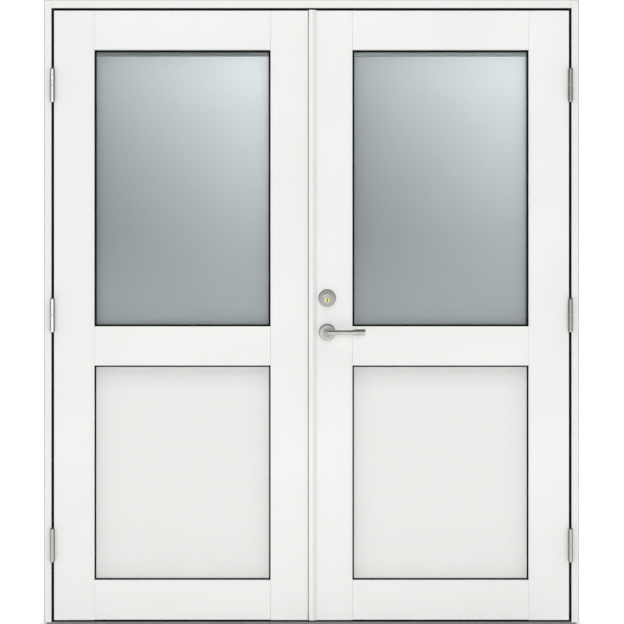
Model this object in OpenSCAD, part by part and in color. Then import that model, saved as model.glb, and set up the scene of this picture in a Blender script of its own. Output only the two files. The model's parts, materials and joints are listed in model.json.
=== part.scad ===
// Double entrance door: a rebated timber frame with a threshold and two glazed leaves
// that open outwards. Both leaves are built from stiles and rails, with a sealed glass
// unit above and a board panel below. The right leaf carries the lock and the lever.
// Millimetres. +Z is up, the outside faces -Y and +X is to the right seen from outside.
// The origin lies under the threshold, in the middle of its length and of its depth.

/* [Frame] */
// Overall width of the frame
frame_w = 1790; // [1480:10:2190]
// Overall height of the frame
frame_h = 2090; // [1890:10:2510]
// Depth of the frame, through the wall
frame_d = 105; // [96:1:150]
// Width of the jamb's front beside the leaf
jamb_face = 26; // [20:1:45]
// Height of the head's front above the leaf
head_face = 28; // [24:1:50]
// How far the stop laps behind the leaf
stop_lap = 15; // [12:1:25]
// Softened corner of all timber
arris = 0.8; // [0.4:0.1:2]
// Chamfer along the frame's outer front edges
outer_chamfer = 2.4; // [0.8:0.1:5]

/* [Threshold] */
// Thickness of the threshold under the jambs
sill_h = 8; // [7:0.5:12]
// Height of the stop behind the leaves, from the floor
sill_stop_h = 25; // [21:1:32]
// How far the threshold stays inside the frame's outer sides
sill_inset = 12; // [4:1:20]
// Thickness of the metal rail on the threshold
rail_t = 2; // [1.5:0.5:3]

/* [Leaves] */
// Thickness of each leaf
leaf_t = 62; // [54:1:75]
// Gap between the leaves and the frame
leaf_gap = 6.5; // [6:0.5:8]
// Gap between the leaves at the middle
meeting_gap = 3.6; // [3.4:0.1:6]
// Height of the leaves' lower edge above the floor
leaf_lift = 15.5; // [14.5:0.5:18]
// Space for the seal between the leaves and the stop
seal_gap = 4; // [3:0.5:6]
// Width of the hinge stile
stile_w = 135.5; // [110:0.5:170]
// Distance from the door's middle to the glass opening
centre_w = 137; // [115:1:170]
// Height of the top rail
top_rail_h = 132; // [90:1:170]
// Height of the middle rail
mid_rail_h = 131; // [115:1:170]
// Height of the bottom rail
bottom_rail_h = 133; // [90:1:220]
// Height of the middle rail's centre above the floor
mid_rail_z = 932.5; // [860:0.5:960]
// How far the active leaf's meeting edge is bevelled back
bevel = 3; // [2.8:0.1:4]

/* [Glass and panels] */
// Thickness of the timber lip in front of the glass
lip_t = 14; // [10:1:18]
// Width of the rebate that holds the glass and the panel
rebate_w = 18; // [16:1:24]
// How far glass and panel reach into the rebate
edge_cover = 14; // [10:1:15]
// Thickness of each gasket
gasket_t = 3; // [2:0.5:4]
// How far the black gasket shows round the glass
glass_sight = 6.5; // [3:0.5:9]
// How far the black gasket shows round the panel
panel_sight = 5.2; // [3:0.1:8]
// Thickness of one pane
pane_t = 4; // [3:0.5:6]
// Space between the panes
cavity = 16; // [12:1:18]
// How far the spacer's top bar shows below the opening's edge
spacer_drop = 18.5; // [9:0.5:22]

/* [Hinges] */
// Radius of the knuckles
knuckle_r = 7.6; // [6.5:0.1:8]
// Height of a hinge
hinge_h = 117; // [100:1:140]
// Gap between a knuckle and the leaf's face
hinge_clear = 1.4; // [0.9:0.1:3]
// Distance of the outer hinges' centres from the leaf's ends
hinge_inset = 251; // [180:1:320]
// Radius of the hinge pin
pin_r = 4; // [3:0.1:4.5]
// Running clearance round a pin or shaft
run_fit = 0.06; // [0.03:0.01:0.09]
// Thickness of the hinge flaps
flap_t = 2.5; // [2:0.1:2.8]
// Thickness of the washer between the knuckles
washer_t = 1.5; // [1:0.1:2]

/* [Cover strip] */
// How far the strip on the active leaf stands out
strip_out = 11; // [8:0.5:14]
// Width of the strip
strip_w = 26.8; // [22:0.1:34]
// Width of the strip's flat front
strip_flat = 13.4; // [10:0.1:18]
// Distance of the strip's left edge from the door's middle
strip_left = 8.4; // [6:0.1:12]

/* [Handle and lock] */
// Gap between the cover strip and the ring round the cylinder
lock_gap = 5.1; // [2:0.1:10]
// Height of the lever above the floor
lever_z = 978.4; // [960:0.1:1020]
// Distance from the lever up to the cylinder's ring
ring_up = 114; // [104:0.5:130]
// How far the key plug sits below the ring's centre
plug_drop = 6.5; // [4:0.5:8]
// Length of the lever from its axis
lever_l = 127; // [110:1:145]
// Distance from the leaf to the lever's middle
lever_out = 50; // [42:1:60]
// Radius of the lever's grip
grip_r = 7.8; // [6.5:0.1:8.5]
// Radius of the lever's thicker end
grip_end_r = 10.3; // [9:0.1:12]
// Radius of the lever's neck
neck_r = 9; // [8.8:0.1:10]
// Radius of the rosettes
rosette_r = 27.8; // [24:0.1:30]
// Radius of the ring round the cylinder
ring_r = 29; // [26:0.1:32]
// Radius of the cylinder
cylinder_r = 19.6; // [18:0.1:21]
// Radius of the key plug
plug_r = 8.6; // [8:0.1:9.5]
// Side of the square spindle
spindle_w = 8; // [7:0.5:9]
// Travel of the latch
latch_travel = 11; // [9:1:14]
// Travel of the deadbolt
deadbolt_travel = 20; // [14:1:22]

/* [Flush bolts] */
// Radius of the bolt rods
bolt_r = 5; // [4:0.5:6]
// Length of the bolt rods
bolt_l = 170; // [140:1:200]
// Travel of the top bolt
top_travel = 18; // [14:1:19]
// Travel of the bottom bolt
bottom_travel = 12; // [9:1:12]

/* [Fixings] */
// Radius of the fixing holes in the jambs
fix_r = 4; // [3:0.5:5]
// Distance between the two holes of a pair
fix_spacing = 500; // [300:10:600]
// Distance of the outer holes from the frame's ends
fix_end = 200; // [120:10:300]

/* [Hidden] */
$fn = 64;
cut = 1;                 // how far a cutting body runs past the face it cuts
touch = 0.3;             // air between pieces that must not rub
joint_gap = 0.3;         // open line between a rail and a stile
rail_inset = 1;          // a rail's outer edge lies this far inside the stile's end

y_front = -frame_d / 2;
y_back = frame_d / 2;
y_leaf = y_front + leaf_t;
y_stop = y_leaf + seal_gap;
y_lip = y_front + lip_t;
y_pane = y_lip + gasket_t;
y_cavity = y_pane + pane_t;
y_inner = y_cavity + cavity;
y_bead = y_inner + pane_t + gasket_t;

frame_u = frame_w / 2;
cheek_u = frame_u - jamb_face;
edge_u = cheek_u - leaf_gap;
stop_u = edge_u - stop_lap;
open_out = edge_u - stile_w;
open_in = centre_w;
leaf_top = frame_h - head_face - leaf_gap;
head_z = frame_h - head_face;
stop_z = leaf_top - stop_lap;
glass_z1 = leaf_top - top_rail_h;
glass_z0 = mid_rail_z + mid_rail_h / 2;
panel_z1 = mid_rail_z - mid_rail_h / 2;
panel_z0 = leaf_lift + bottom_rail_h;
rail_top = sill_h + rail_t;
meet_right = -strip_left;
meet_left = strip_left + meeting_gap;

axis_u = edge_u + leaf_gap / 2;
axis_y = y_front - knuckle_r - hinge_clear;
hinge_zs = [leaf_lift + hinge_inset, (leaf_lift + leaf_top) / 2, leaf_top - hinge_inset];
flap_y0 = axis_y + knuckle_r + 0.9;   // a flap clears the other half's knuckle
flap_w = 35;
flap_h = hinge_h - 7;
neck_h = hinge_h / 2 - 5;
screw_dz = flap_h / 2 - 17;
screw_r = 2.2;
screw_head_r = 4.4;
screw_l = 20;
screw_air = 0.15;

lock_x = meet_right + strip_w + max(ring_r, rosette_r) + lock_gap;
lock_y = (y_front + y_leaf) / 2;
case_t = 15;
case_wall = 1.5;
case_x0 = meet_right + 5.1;
case_x1 = lock_x + 32;
ring_z = lever_z + ring_up;
plug_z = ring_z - plug_drop;
case_z0 = lever_z - 40;
case_z1 = plug_z + 45;
forend_t = 3;
forend_w = 22;
forend_x0 = case_x0 - forend_t;
forend_z0 = case_z0 - 20;
forend_z1 = case_z1 + 20;
bolt_x0 = forend_x0 + 0.3;
latch_z = lever_z + 32;
latch_h = 20;
bolt_t = 10.6;
latch_l = 40;
deadbolt_h = 30;
deadbolt_l = 42;
bolt_air = 0.3;
follower_r = 14;
plate_t = 2.5;
plate_w = 20;
strike_z0 = latch_z - 34;
strike_z1 = plug_z + 34;
pocket_d = max(latch_travel, deadbolt_travel) + 2;
ring_t = 7;
rosette_t = 8;
rose_r = 25;
turn_r = 7;
cylinder_out = 11;
shaft_hole_r = 12;

rod_x = -(meet_left + 12);
rod_tip = 1;
finger_w = 8;
finger_h = 14;
flush_h = bolt_l + 10;
bush_r = bolt_r + 2;
bush_flange_r = bush_r + 3;
bush_flange_t = 1.2;
bush_l = 6;

fix_y = (y_stop + y_back) / 2;
plug_hole_r = 7;
plug_hole_d = 9;
fix_zs = [fix_end, fix_end + fix_spacing, frame_h - fix_end - fix_spacing, frame_h - fix_end];

white = [0.95, 0.95, 0.94];
panel_white = [0.9, 0.9, 0.89];
black = [0.08, 0.08, 0.08];
satin = [0.66, 0.65, 0.63];
steel = [0.72, 0.73, 0.74];
brass = [0.8, 0.64, 0.2];
alloy = [0.6, 0.6, 0.6];
sill_grey = [0.42, 0.42, 0.42];
seal_grey = [0.72, 0.72, 0.72];
glass_blue = [0.62, 0.68, 0.72, 0.5];

// ---- helpers ----

module block(low, high) {
    translate(low) cube(high - low);
}

// A bar along Z from its outline in X and Y
module bar_z(outline, z0, z1) {
    translate([0, 0, z0]) linear_extrude(z1 - z0) polygon(outline);
}

// A bar along X from its outline in Y and Z
module bar_x(outline, x0, x1) {
    translate([x0, 0, 0]) rotate([90, 0, 90]) linear_extrude(x1 - x0) polygon(outline);
}

// A rectangle with softened corners
function soft(a0, b0, a1, b1, c = arris) = [
    [a0 + c, b0], [a1 - c, b0], [a1, b0 + c], [a1, b1 - c],
    [a1 - c, b1], [a0 + c, b1], [a0, b1 - c], [a0, b0 + c]
];

module rod_y(x, z, y0, y1, r) {
    translate([x, y0, z]) rotate([-90, 0, 0]) cylinder(h = y1 - y0, r = r);
}

module rod_x(y, z, x0, x1, r) {
    translate([x0, y, z]) rotate([0, 90, 0]) cylinder(h = x1 - x0, r = r);
}

// A turned piece on an axis along Y, from points of radius and depth
module turned_y(x, z, outline) {
    translate([x, 0, z]) rotate([-90, 0, 0]) rotate_extrude() polygon(outline);
}

// The two leaves and jambs are mirror images: the left one is drawn as a right one
module side(name) {
    mirror([name == "left" ? 1 : 0, 0, 0]) children();
}

// Draws outward from a leaf's face: the outside face for -1, the inside face for 1
module on_face(way) {
    translate([0, way < 0 ? y_front : y_leaf, 0]) mirror([0, way < 0 ? 1 : 0, 0]) children();
}

// A flat ring round an opening in X and Z
module ring_frame(open0, open1, outer, inner, y0, y1) {
    difference() {
        block([open0[0] - outer, y0, open0[1] - outer], [open1[0] + outer, y1, open1[1] + outer]);
        block([open0[0] + inner, y0 - cut, open0[1] + inner],
              [open1[0] - inner, y1 + cut, open1[1] - inner]);
    }
}

// A countersunk screw on +X, with its head's face at the origin
module screw(air = 0, length = screw_l) {
    rotate([0, 90, 0]) rotate_extrude() polygon([
        [0, 0], [screw_head_r + air, 0], [screw_r + air, flap_t],
        [screw_r + air, length + air], [0, length + air]
    ]);
}

// ---- frame ----

jamb_outline = [
    [cheek_u + arris, y_front], [frame_u - outer_chamfer, y_front],
    [frame_u, y_front + outer_chamfer],
    [frame_u, y_back - arris], [frame_u - arris, y_back], [stop_u + arris, y_back],
    [stop_u, y_back - arris], [stop_u, y_stop + arris], [stop_u + arris, y_stop],
    [cheek_u, y_stop], [cheek_u, y_front + arris]
];

module jamb(name) {
    color(white) side(name) difference() {
        bar_z(jamb_outline, sill_h, frame_h);
        for (z = fix_zs) {
            rod_x(fix_y, z, stop_u - cut, frame_u + cut, fix_r);
            rod_x(fix_y, z, stop_u - cut, stop_u + plug_hole_d, plug_hole_r);
        }
        hinge_screw_places(cheek_u - flap_t) screw(screw_air);
        seal_kerf_side();
        front_kerf_side();
        // The head's outer chamfer runs on across the jamb's top
        bar_x([
            [y_front - cut, frame_h - outer_chamfer - cut], [y_front - cut, frame_h + cut],
            [y_front + outer_chamfer + cut, frame_h + cut]
        ], stop_u, frame_u + cut);
    }
}

module frame_head() {
    color(white) difference() {
        union() {
            bar_x([
                [y_front + arris, head_z], [y_stop, head_z], [y_stop, stop_z + arris],
                [y_stop + arris, stop_z], [y_back - arris, stop_z], [y_back, stop_z + arris],
                [y_back, frame_h - arris], [y_back - arris, frame_h],
                [y_front + outer_chamfer, frame_h], [y_front, frame_h - outer_chamfer],
                [y_front, head_z + arris]
            ], -stop_u, stop_u);
            for (way = [0, 1]) mirror([way, 0, 0]) bar_x([
                [y_front + arris, head_z], [y_stop, head_z], [y_stop, frame_h],
                [y_front + outer_chamfer, frame_h], [y_front, frame_h - outer_chamfer],
                [y_front, head_z + arris]
            ], stop_u, cheek_u);
        }
        translate([rod_x, lock_y, head_z - cut]) cylinder(h = top_travel + 5, r = bush_r);
        seal_kerf_top();
        front_kerf_top();
    }
}

module threshold() {
    color(sill_grey) difference() {
        union() {
            block([-frame_u + sill_inset, y_front + rail_t, 0],
                  [frame_u - sill_inset, y_back, sill_h]);
            bar_x([
                [y_stop, sill_h - cut], [y_back, sill_h - cut],
                [y_back, sill_stop_h - 3 * arris], [y_back - 3 * arris, sill_stop_h],
                [y_stop + arris, sill_stop_h], [y_stop, sill_stop_h - arris]
            ], -stop_u + joint_gap, stop_u - joint_gap);
        }
        translate([rod_x, lock_y, 2.2]) cylinder(h = sill_h, r = bush_r);
        seal_kerf_sill();
    }
}

// The rail folds over the threshold's front edge, and its top lies between the jambs
module threshold_rail() {
    color(alloy) difference() {
        union() {
            block([-frame_u + sill_inset, y_front, 0],
                  [frame_u - sill_inset, y_front + rail_t, sill_h]);
            bar_x([
                [y_front, sill_h], [y_stop, sill_h], [y_stop, rail_top],
                [y_front + 1, rail_top], [y_front, rail_top - 1]
            ], -cheek_u + joint_gap, cheek_u - joint_gap);
        }
        translate([rod_x, lock_y, sill_h - cut]) cylinder(h = rail_t + 2 * cut, r = bush_r);
    }
}

// The seal: a round lip on the stop, held by a root in a narrow kerf
seal_w = 6;
kerf_w = 2.4;
kerf_d = 6;
seal_u = (stop_u + edge_u) / 2;
seal_top = (stop_z + leaf_top) / 2;
seal_low = (leaf_lift + sill_stop_h) / 2;
seal_front = y_leaf + touch;

function seal_outline(c) = concat(
    [[c - kerf_w / 2 + 0.1, y_stop + kerf_d - 0.2], [c - kerf_w / 2 + 0.1, y_stop],
     [c - seal_w / 2, y_stop]],
    [for (a = [180:30:360]) [c + seal_w / 2 * cos(a),
        y_stop - 1.4 + (y_stop - 1.4 - seal_front) * sin(a)]],
    [[c + seal_w / 2, y_stop], [c + kerf_w / 2 - 0.1, y_stop],
     [c + kerf_w / 2 - 0.1, y_stop + kerf_d - 0.2]]);

// The front seal closes the gap round the leaves just behind their faces. Its lip points
// at a leaf from a face of the frame; way is 1 where the frame lies on the larger side.
front_seal_y = y_front + 5.5;
front_seal_w = 6;
front_air = 0.7;
front_root = 4;

function front_outline(face, way, lip) = concat(
    [[face + way * front_root, front_seal_y - 1], [face, front_seal_y - 1],
     [face, front_seal_y - front_seal_w / 2]],
    [for (a = [-60:30:60]) [face - way * lip * cos(a),
        front_seal_y + front_seal_w / 2 * sin(a)]],
    [[face, front_seal_y + front_seal_w / 2], [face, front_seal_y + 1],
     [face + way * front_root, front_seal_y + 1]]);

// The side strips stop at the hinge flaps
function between_hinges() = [
    [sill_h + rail_t + touch, hinge_zs[0] - flap_h / 2 - touch],
    [hinge_zs[0] + flap_h / 2 + touch, hinge_zs[1] - flap_h / 2 - touch],
    [hinge_zs[1] + flap_h / 2 + touch, hinge_zs[2] - flap_h / 2 - touch],
    [hinge_zs[2] + flap_h / 2 + touch, head_z - touch]
];

module front_seal() {
    side_lip = leaf_gap - front_air;
    for (name = ["left", "right"]) side(name) for (z = between_hinges())
        bar_z(front_outline(cheek_u, 1, side_lip), z[0], z[1]);
    bar_x(swapped(front_outline(head_z, 1, side_lip)), -edge_u, edge_u);
    bar_x([
        [front_seal_y - front_seal_w / 2, rail_top], [front_seal_y + front_seal_w / 2, rail_top],
        [front_seal_y + 1, leaf_lift - front_air], [front_seal_y - 1, leaf_lift - front_air]
    ], -edge_u, edge_u);
}

module front_kerf_side() {
    block([cheek_u - cut, front_seal_y - 1.1, sill_h - cut],
          [cheek_u + front_root + 0.1, front_seal_y + 1.1, frame_h + cut]);
}

module front_kerf_top() {
    block([-frame_u, front_seal_y - 1.1, head_z - cut],
          [frame_u, front_seal_y + 1.1, head_z + front_root + 0.1]);
}

function swapped(outline) = [for (p = outline) [p[1], p[0]]];

module seal_kerf_side() {
    block([seal_u - kerf_w / 2, y_stop - cut, sill_h - cut],
          [seal_u + kerf_w / 2, y_stop + kerf_d, frame_h + cut]);
}

module seal_kerf_top() {
    block([-frame_u, y_stop - cut, seal_top - kerf_w / 2],
          [frame_u, y_stop + kerf_d, seal_top + kerf_w / 2]);
}

module seal_kerf_sill() {
    block([-frame_u, y_stop - cut, seal_low - kerf_w / 2],
          [frame_u, y_stop + kerf_d, seal_low + kerf_w / 2]);
}

module frame_seal() {
    low = seal_low + seal_w / 2 + touch;
    high = seal_top - seal_w / 2 - touch;
    color(black) {
        for (name = ["left", "right"]) side(name)
            bar_z(seal_outline(seal_u), low, high);
        bar_x(swapped(seal_outline(seal_top)), -stop_u + touch, stop_u - touch);
        bar_x(swapped(seal_outline(seal_low)), -stop_u + 2 * touch, stop_u - 2 * touch);
        front_seal();
    }
}

// A flanged bush: the flange lies on the face at the origin, the tube goes up
module bush() {
    rotate_extrude() polygon([
        [bolt_r + 0.8, -bush_flange_t], [bush_flange_r, -bush_flange_t], [bush_flange_r, 0],
        [bush_r - 0.1, 0], [bush_r - 0.1, bush_l], [bolt_r + 0.8, bush_l]
    ]);
}

module bolt_keepers() {
    color(steel) {
        translate([rod_x, lock_y, head_z]) bush();
        translate([rod_x, lock_y, rail_top]) mirror([0, 0, 1]) bush();
    }
}

// ---- hinges: a lower half with a fixed pin on the frame, an upper half on the leaf ----

module hinge_places() {
    for (z = hinge_zs) translate([axis_u, axis_y, z]) children();
}

module hinge_screw_places(face_u) {
    for (z = hinge_zs, dz = [-screw_dz, 0, screw_dz])
        translate([face_u, flap_y0 + flap_w / 2, z + dz]) children();
}

// A knuckle from z0 up to a rounded tip at hinge_h / 2
function knuckle_outline(z0) = [
    [0, z0], [knuckle_r - 0.4, z0], [knuckle_r, z0 + 0.4], [knuckle_r, hinge_h / 2 - 5],
    [knuckle_r - 0.7, hinge_h / 2 - 2.6], [knuckle_r - 1.9, hinge_h / 2 - 1],
    [knuckle_r - 3.6, hinge_h / 2 - 0.2], [0, hinge_h / 2]
];

module knuckle(z0, bore_r, bore_h) {
    difference() {
        children();
        translate([0, 0, z0 - cut]) cylinder(h = bore_h + cut, r = bore_r);
    }
}

module flap(x0, neck_z0) {
    translate([x0, 0, 0]) {
        block([0, 0, neck_z0], [flap_t, flap_y0 - axis_y + cut, neck_h]);
        bar_z([
            [0, flap_y0 - axis_y], [flap_t, flap_y0 - axis_y],
            [flap_t, flap_y0 - axis_y + flap_w], [0, flap_y0 - axis_y + flap_w]
        ], -flap_h / 2, flap_h / 2);
    }
}

module frame_half() {
    mirror([0, 0, 1]) knuckle(washer_t / 2, pin_r, hinge_h / 2 - 13) union() {
        rotate_extrude() polygon(knuckle_outline(washer_t / 2));
        flap(leaf_gap / 2 - flap_t, washer_t / 2);
    }
}

module leaf_half() {
    low = washer_t / 2 + 0.2;
    knuckle(low, pin_r + run_fit, hinge_h / 2 - 16) union() {
        rotate_extrude() polygon(knuckle_outline(low));
        flap(-leaf_gap / 2, low);
    }
}

module frame_hinge_halves() {
    color(satin) for (name = ["left", "right"]) side(name) difference() {
        hinge_places() frame_half();
        hinge_screw_places(cheek_u - flap_t) screw(screw_air);
    }
}

module leaf_hinge_halves(name) {
    color(satin) side(name) difference() {
        hinge_places() leaf_half();
        hinge_screw_places(edge_u + flap_t) mirror([1, 0, 0]) screw(screw_air);
    }
}

module hinge_pins() {
    low = -hinge_h / 2 + 13.5;
    high = hinge_h / 2 - 17.5;
    color(steel) for (name = ["left", "right"]) side(name) hinge_places()
        rotate_extrude() polygon([
            [0, low], [pin_r, low], [pin_r, high - 1.5], [pin_r - 1.2, high], [0, high]
        ]);
}

module hinge_washers() {
    color(steel) for (name = ["left", "right"]) side(name) hinge_places()
        translate([0, 0, -washer_t / 2]) difference() {
            cylinder(h = washer_t, r = knuckle_r - 0.2);
            translate([0, 0, -cut]) cylinder(h = washer_t + 2 * cut, r = pin_r + run_fit);
        }
}

module frame_hinge_screws() {
    color(steel) for (name = ["left", "right"]) side(name)
        hinge_screw_places(cheek_u - flap_t) screw();
}

module leaf_hinge_screws(name) {
    color(steel) side(name)
        hinge_screw_places(edge_u + flap_t) mirror([1, 0, 0]) screw();
}

// ---- leaves ----

tenon_t = 16;
tenon_l = open_in - case_x1 - 12.5;   // leaves timber between a tenon and the lock
tenon_side = 26;
tenon_air = 0.2;

// The rebates that hold glass and panel, open to the inside
module rebates() {
    for (z = [[glass_z0, glass_z1], [panel_z0, panel_z1]])
        block([open_in - rebate_w, y_lip, z[0] - rebate_w],
              [open_out + rebate_w, y_leaf + cut, z[1] + rebate_w]);
}

module tenons(z0, z1, air = 0) {
    block([open_in - tenon_l - air, lock_y - tenon_t / 2 - air, z0 + tenon_side - air],
          [open_out + tenon_l + air, lock_y + tenon_t / 2 + air, z1 - tenon_side + air]);
}

module all_tenons(air) {
    tenons(leaf_lift, panel_z0, air);
    tenons(panel_z1, glass_z0, air);
    tenons(glass_z1, leaf_top, air);
}

module rail(name, z0, z1) {
    color(white) side(name) difference() {
        union() {
            bar_x(soft(y_front, z0, y_leaf, z1), open_in + joint_gap, open_out - joint_gap);
            tenons(z0, z1);
        }
        rebates();
    }
}

module top_rail(name) {
    rail(name, glass_z1, leaf_top - rail_inset);
}

module middle_rail(name) {
    rail(name, panel_z1, glass_z0);
}

module bottom_rail(name) {
    rail(name, leaf_lift + rail_inset, panel_z0);
}

module hinge_stile(name) {
    color(white) side(name) difference() {
        bar_z(soft(open_out, y_front, edge_u, y_leaf), leaf_lift, leaf_top);
        rebates();
        all_tenons(tenon_air);
        hinge_screw_places(edge_u + flap_t) mirror([1, 0, 0]) screw(screw_air);
    }
}

module pane(name, y0) {
    color(glass_blue) side(name)
        block([open_in - edge_cover, y0, glass_z0 - edge_cover],
              [open_out + edge_cover, y0 + pane_t, glass_z1 + edge_cover]);
}

module spacer(name) {
    outer = edge_cover - 8;
    color(alloy) side(name) difference() {
        block([open_in - outer, y_cavity, glass_z0 - outer],
              [open_out + outer, y_inner, glass_z1 + outer]);
        block([open_in + 2, y_cavity - cut, glass_z0 + 2],
              [open_out - 2, y_inner + cut, glass_z1 - spacer_drop]);
    }
}

module gaskets(name) {
    outer = edge_cover - 2;
    color(black) side(name) {
        ring_frame([open_in, glass_z0], [open_out, glass_z1], outer, glass_sight, y_lip, y_pane);
        ring_frame([open_in, panel_z0], [open_out, panel_z1], outer, panel_sight, y_lip, y_pane);
        for (z = [[glass_z0, glass_z1], [panel_z0, panel_z1]])
            ring_frame([open_in, z[0]], [open_out, z[1]], outer, 0,
                       y_bead - gasket_t, y_bead);
    }
}

module panel(name) {
    color(panel_white) side(name)
        block([open_in - edge_cover, y_pane, panel_z0 - edge_cover],
              [open_out + edge_cover, y_bead - gasket_t, panel_z1 + edge_cover]);
}

// A bead's outline: b runs from the opening's edge into the rebate, y to the inside
bead_t = y_leaf - y_bead;

function bead_outline(way, b) = [
    [b + way * 1.5, y_bead], [b + way * rebate_w, y_bead], [b + way * rebate_w, y_leaf],
    [b + way * 6, y_leaf], [b + way * 2.4, y_leaf - bead_t * 0.07],
    [b + way * 0.4, y_leaf - bead_t * 0.28], [b, y_leaf - bead_t * 0.5],
    [b, y_bead + 1.5]
];

module beads(name) {
    color(white) side(name) for (z = [[glass_z0, glass_z1], [panel_z0, panel_z1]]) {
        bar_x(swapped(bead_outline(1, z[1])), open_in - rebate_w, open_out + rebate_w);
        bar_x(swapped(bead_outline(-1, z[0])), open_in - rebate_w, open_out + rebate_w);
        bar_z(bead_outline(-1, open_in), z[0] + joint_gap, z[1] - joint_gap);
        bar_z(bead_outline(1, open_out), z[0] + joint_gap, z[1] - joint_gap);
    }
}

// ---- the passive leaf's meeting stile, strike plate and flush bolts ----

seal_lip = meeting_gap - 0.5;
seal_y0 = y_front + 4;
seal_y1 = y_front + 12;

module edge_plate(z0, z1) {
    block([-meet_left - plate_t, lock_y - plate_w / 2, z0],
          [-meet_left, lock_y + plate_w / 2, z1]);
}

flush_zs = [leaf_lift + 4, leaf_top - 4 - flush_h];

module left_meeting_stile() {
    color(white) difference() {
        side("left") difference() {
            bar_z(soft(meet_left, y_front, open_in, y_leaf), leaf_lift, leaf_top);
            rebates();
            all_tenons(tenon_air);
        }
        block([-meet_left - 4, seal_y0 + 2.8, leaf_lift - cut],
              [-meet_left + cut, seal_y0 + 5.2, leaf_top + cut]);
        edge_pocket(strike_z0, strike_z1);
        block([-meet_left - pocket_d, lock_y - bolt_t / 2 - 1, latch_z - latch_h / 2 - 1],
              [-meet_left + cut, lock_y + bolt_t / 2 + 1, latch_z + latch_h / 2 + 1]);
        block([-meet_left - pocket_d, lock_y - bolt_t / 2 - 1, plug_z - deadbolt_h / 2 - 1],
              [-meet_left + cut, lock_y + bolt_t / 2 + 1, plug_z + deadbolt_h / 2 + 1]);
        for (z = flush_zs) edge_pocket(z, z + flush_h);
        for (z = plate_screw_zs) plate_screw_place(z) screw(screw_air, 16);
        translate([rod_x, lock_y, leaf_lift - cut])
            cylinder(h = bolt_l + cut + rod_tip + bolt_air, r = bolt_r + bolt_air);
        translate([rod_x, lock_y, leaf_top - bolt_l - rod_tip - bolt_air])
            cylinder(h = bolt_l + rod_tip + bolt_air + cut, r = bolt_r + bolt_air);
        finger_slot(bottom_finger_z - bottom_travel, bottom_finger_z + finger_h);
        finger_slot(top_finger_z, top_finger_z + finger_h + top_travel);
    }
}

module edge_pocket(z0, z1) {
    block([-meet_left - plate_t, lock_y - plate_w / 2 - 0.1, z0 - 0.1],
          [-meet_left + cut, lock_y + plate_w / 2 + 0.1, z1 + 0.1]);
}

bottom_finger_z = leaf_lift + rod_tip + bolt_l - 30;
top_finger_z = leaf_top - rod_tip - bolt_l + 16;

module finger_slot(z0, z1) {
    block([rod_x, lock_y - finger_w / 2 - bolt_air, z0 - 0.5],
          [-meet_left + cut, lock_y + finger_w / 2 + bolt_air, z1 + 0.5]);
}

plate_screw_zs = [
    strike_z0 + 8, strike_z1 - 8, flush_zs[0] + 8, flush_zs[0] + flush_h - 8,
    flush_zs[1] + 8, flush_zs[1] + flush_h - 8
];

module plate_screw_place(z) {
    translate([-meet_left, lock_y, z]) mirror([1, 0, 0]) children();
}

// The plates' end screws stand clear of the bolt rods behind the plates
module strike_plate() {
    color(steel) difference() {
        edge_plate(strike_z0, strike_z1);
        for (z = [[latch_z, latch_h], [plug_z, deadbolt_h]])
            block([-meet_left - 5, lock_y - bolt_t / 2 - 0.8, z[0] - z[1] / 2 - 0.8],
                  [-meet_left + cut, lock_y + bolt_t / 2 + 0.8, z[0] + z[1] / 2 + 0.8]);
        for (z = plate_screw_zs) plate_screw_place(z) screw(screw_air, 16);
    }
}

module flush_bolt_plates() {
    color(steel) difference() {
        for (z = flush_zs) edge_plate(z, z + flush_h);
        finger_slot(bottom_finger_z - bottom_travel, bottom_finger_z + finger_h);
        finger_slot(top_finger_z, top_finger_z + finger_h + top_travel);
        for (z = plate_screw_zs) plate_screw_place(z) screw(screw_air, 16);
    }
}

module left_plate_screws() {
    color(steel) for (z = plate_screw_zs) plate_screw_place(z) screw(0, 6);
}

module bolt_rod(low, finger_z) {
    color(steel) {
        translate([rod_x, lock_y, low]) cylinder(h = bolt_l, r = bolt_r);
        block([rod_x + bolt_r - 2, lock_y - finger_w / 2, finger_z],
              [-meet_left - 0.4, lock_y + finger_w / 2, finger_z + finger_h]);
    }
}

module top_bolt() {
    union() bolt_rod(leaf_top - rod_tip - bolt_l, top_finger_z);
}

module bottom_bolt() {
    union() bolt_rod(leaf_lift + rod_tip, bottom_finger_z);
}

module meeting_seal() {
    color(seal_grey) bar_z([
        [-meet_left - 3.8, seal_y0 + 2.9], [-meet_left, seal_y0 + 2.9],
        [-meet_left, seal_y0], [-meet_left + seal_lip - 1, seal_y0],
        [-meet_left + seal_lip, seal_y0 + 1.5], [-meet_left + seal_lip, seal_y1 - 1.5],
        [-meet_left + seal_lip - 1, seal_y1], [-meet_left, seal_y1],
        [-meet_left, seal_y0 + 5.1], [-meet_left - 3.8, seal_y0 + 5.1]
    ], leaf_lift + 1, leaf_top - 1);
}

// ---- the active leaf's meeting stile, cover strip, lock and handles ----

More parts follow.
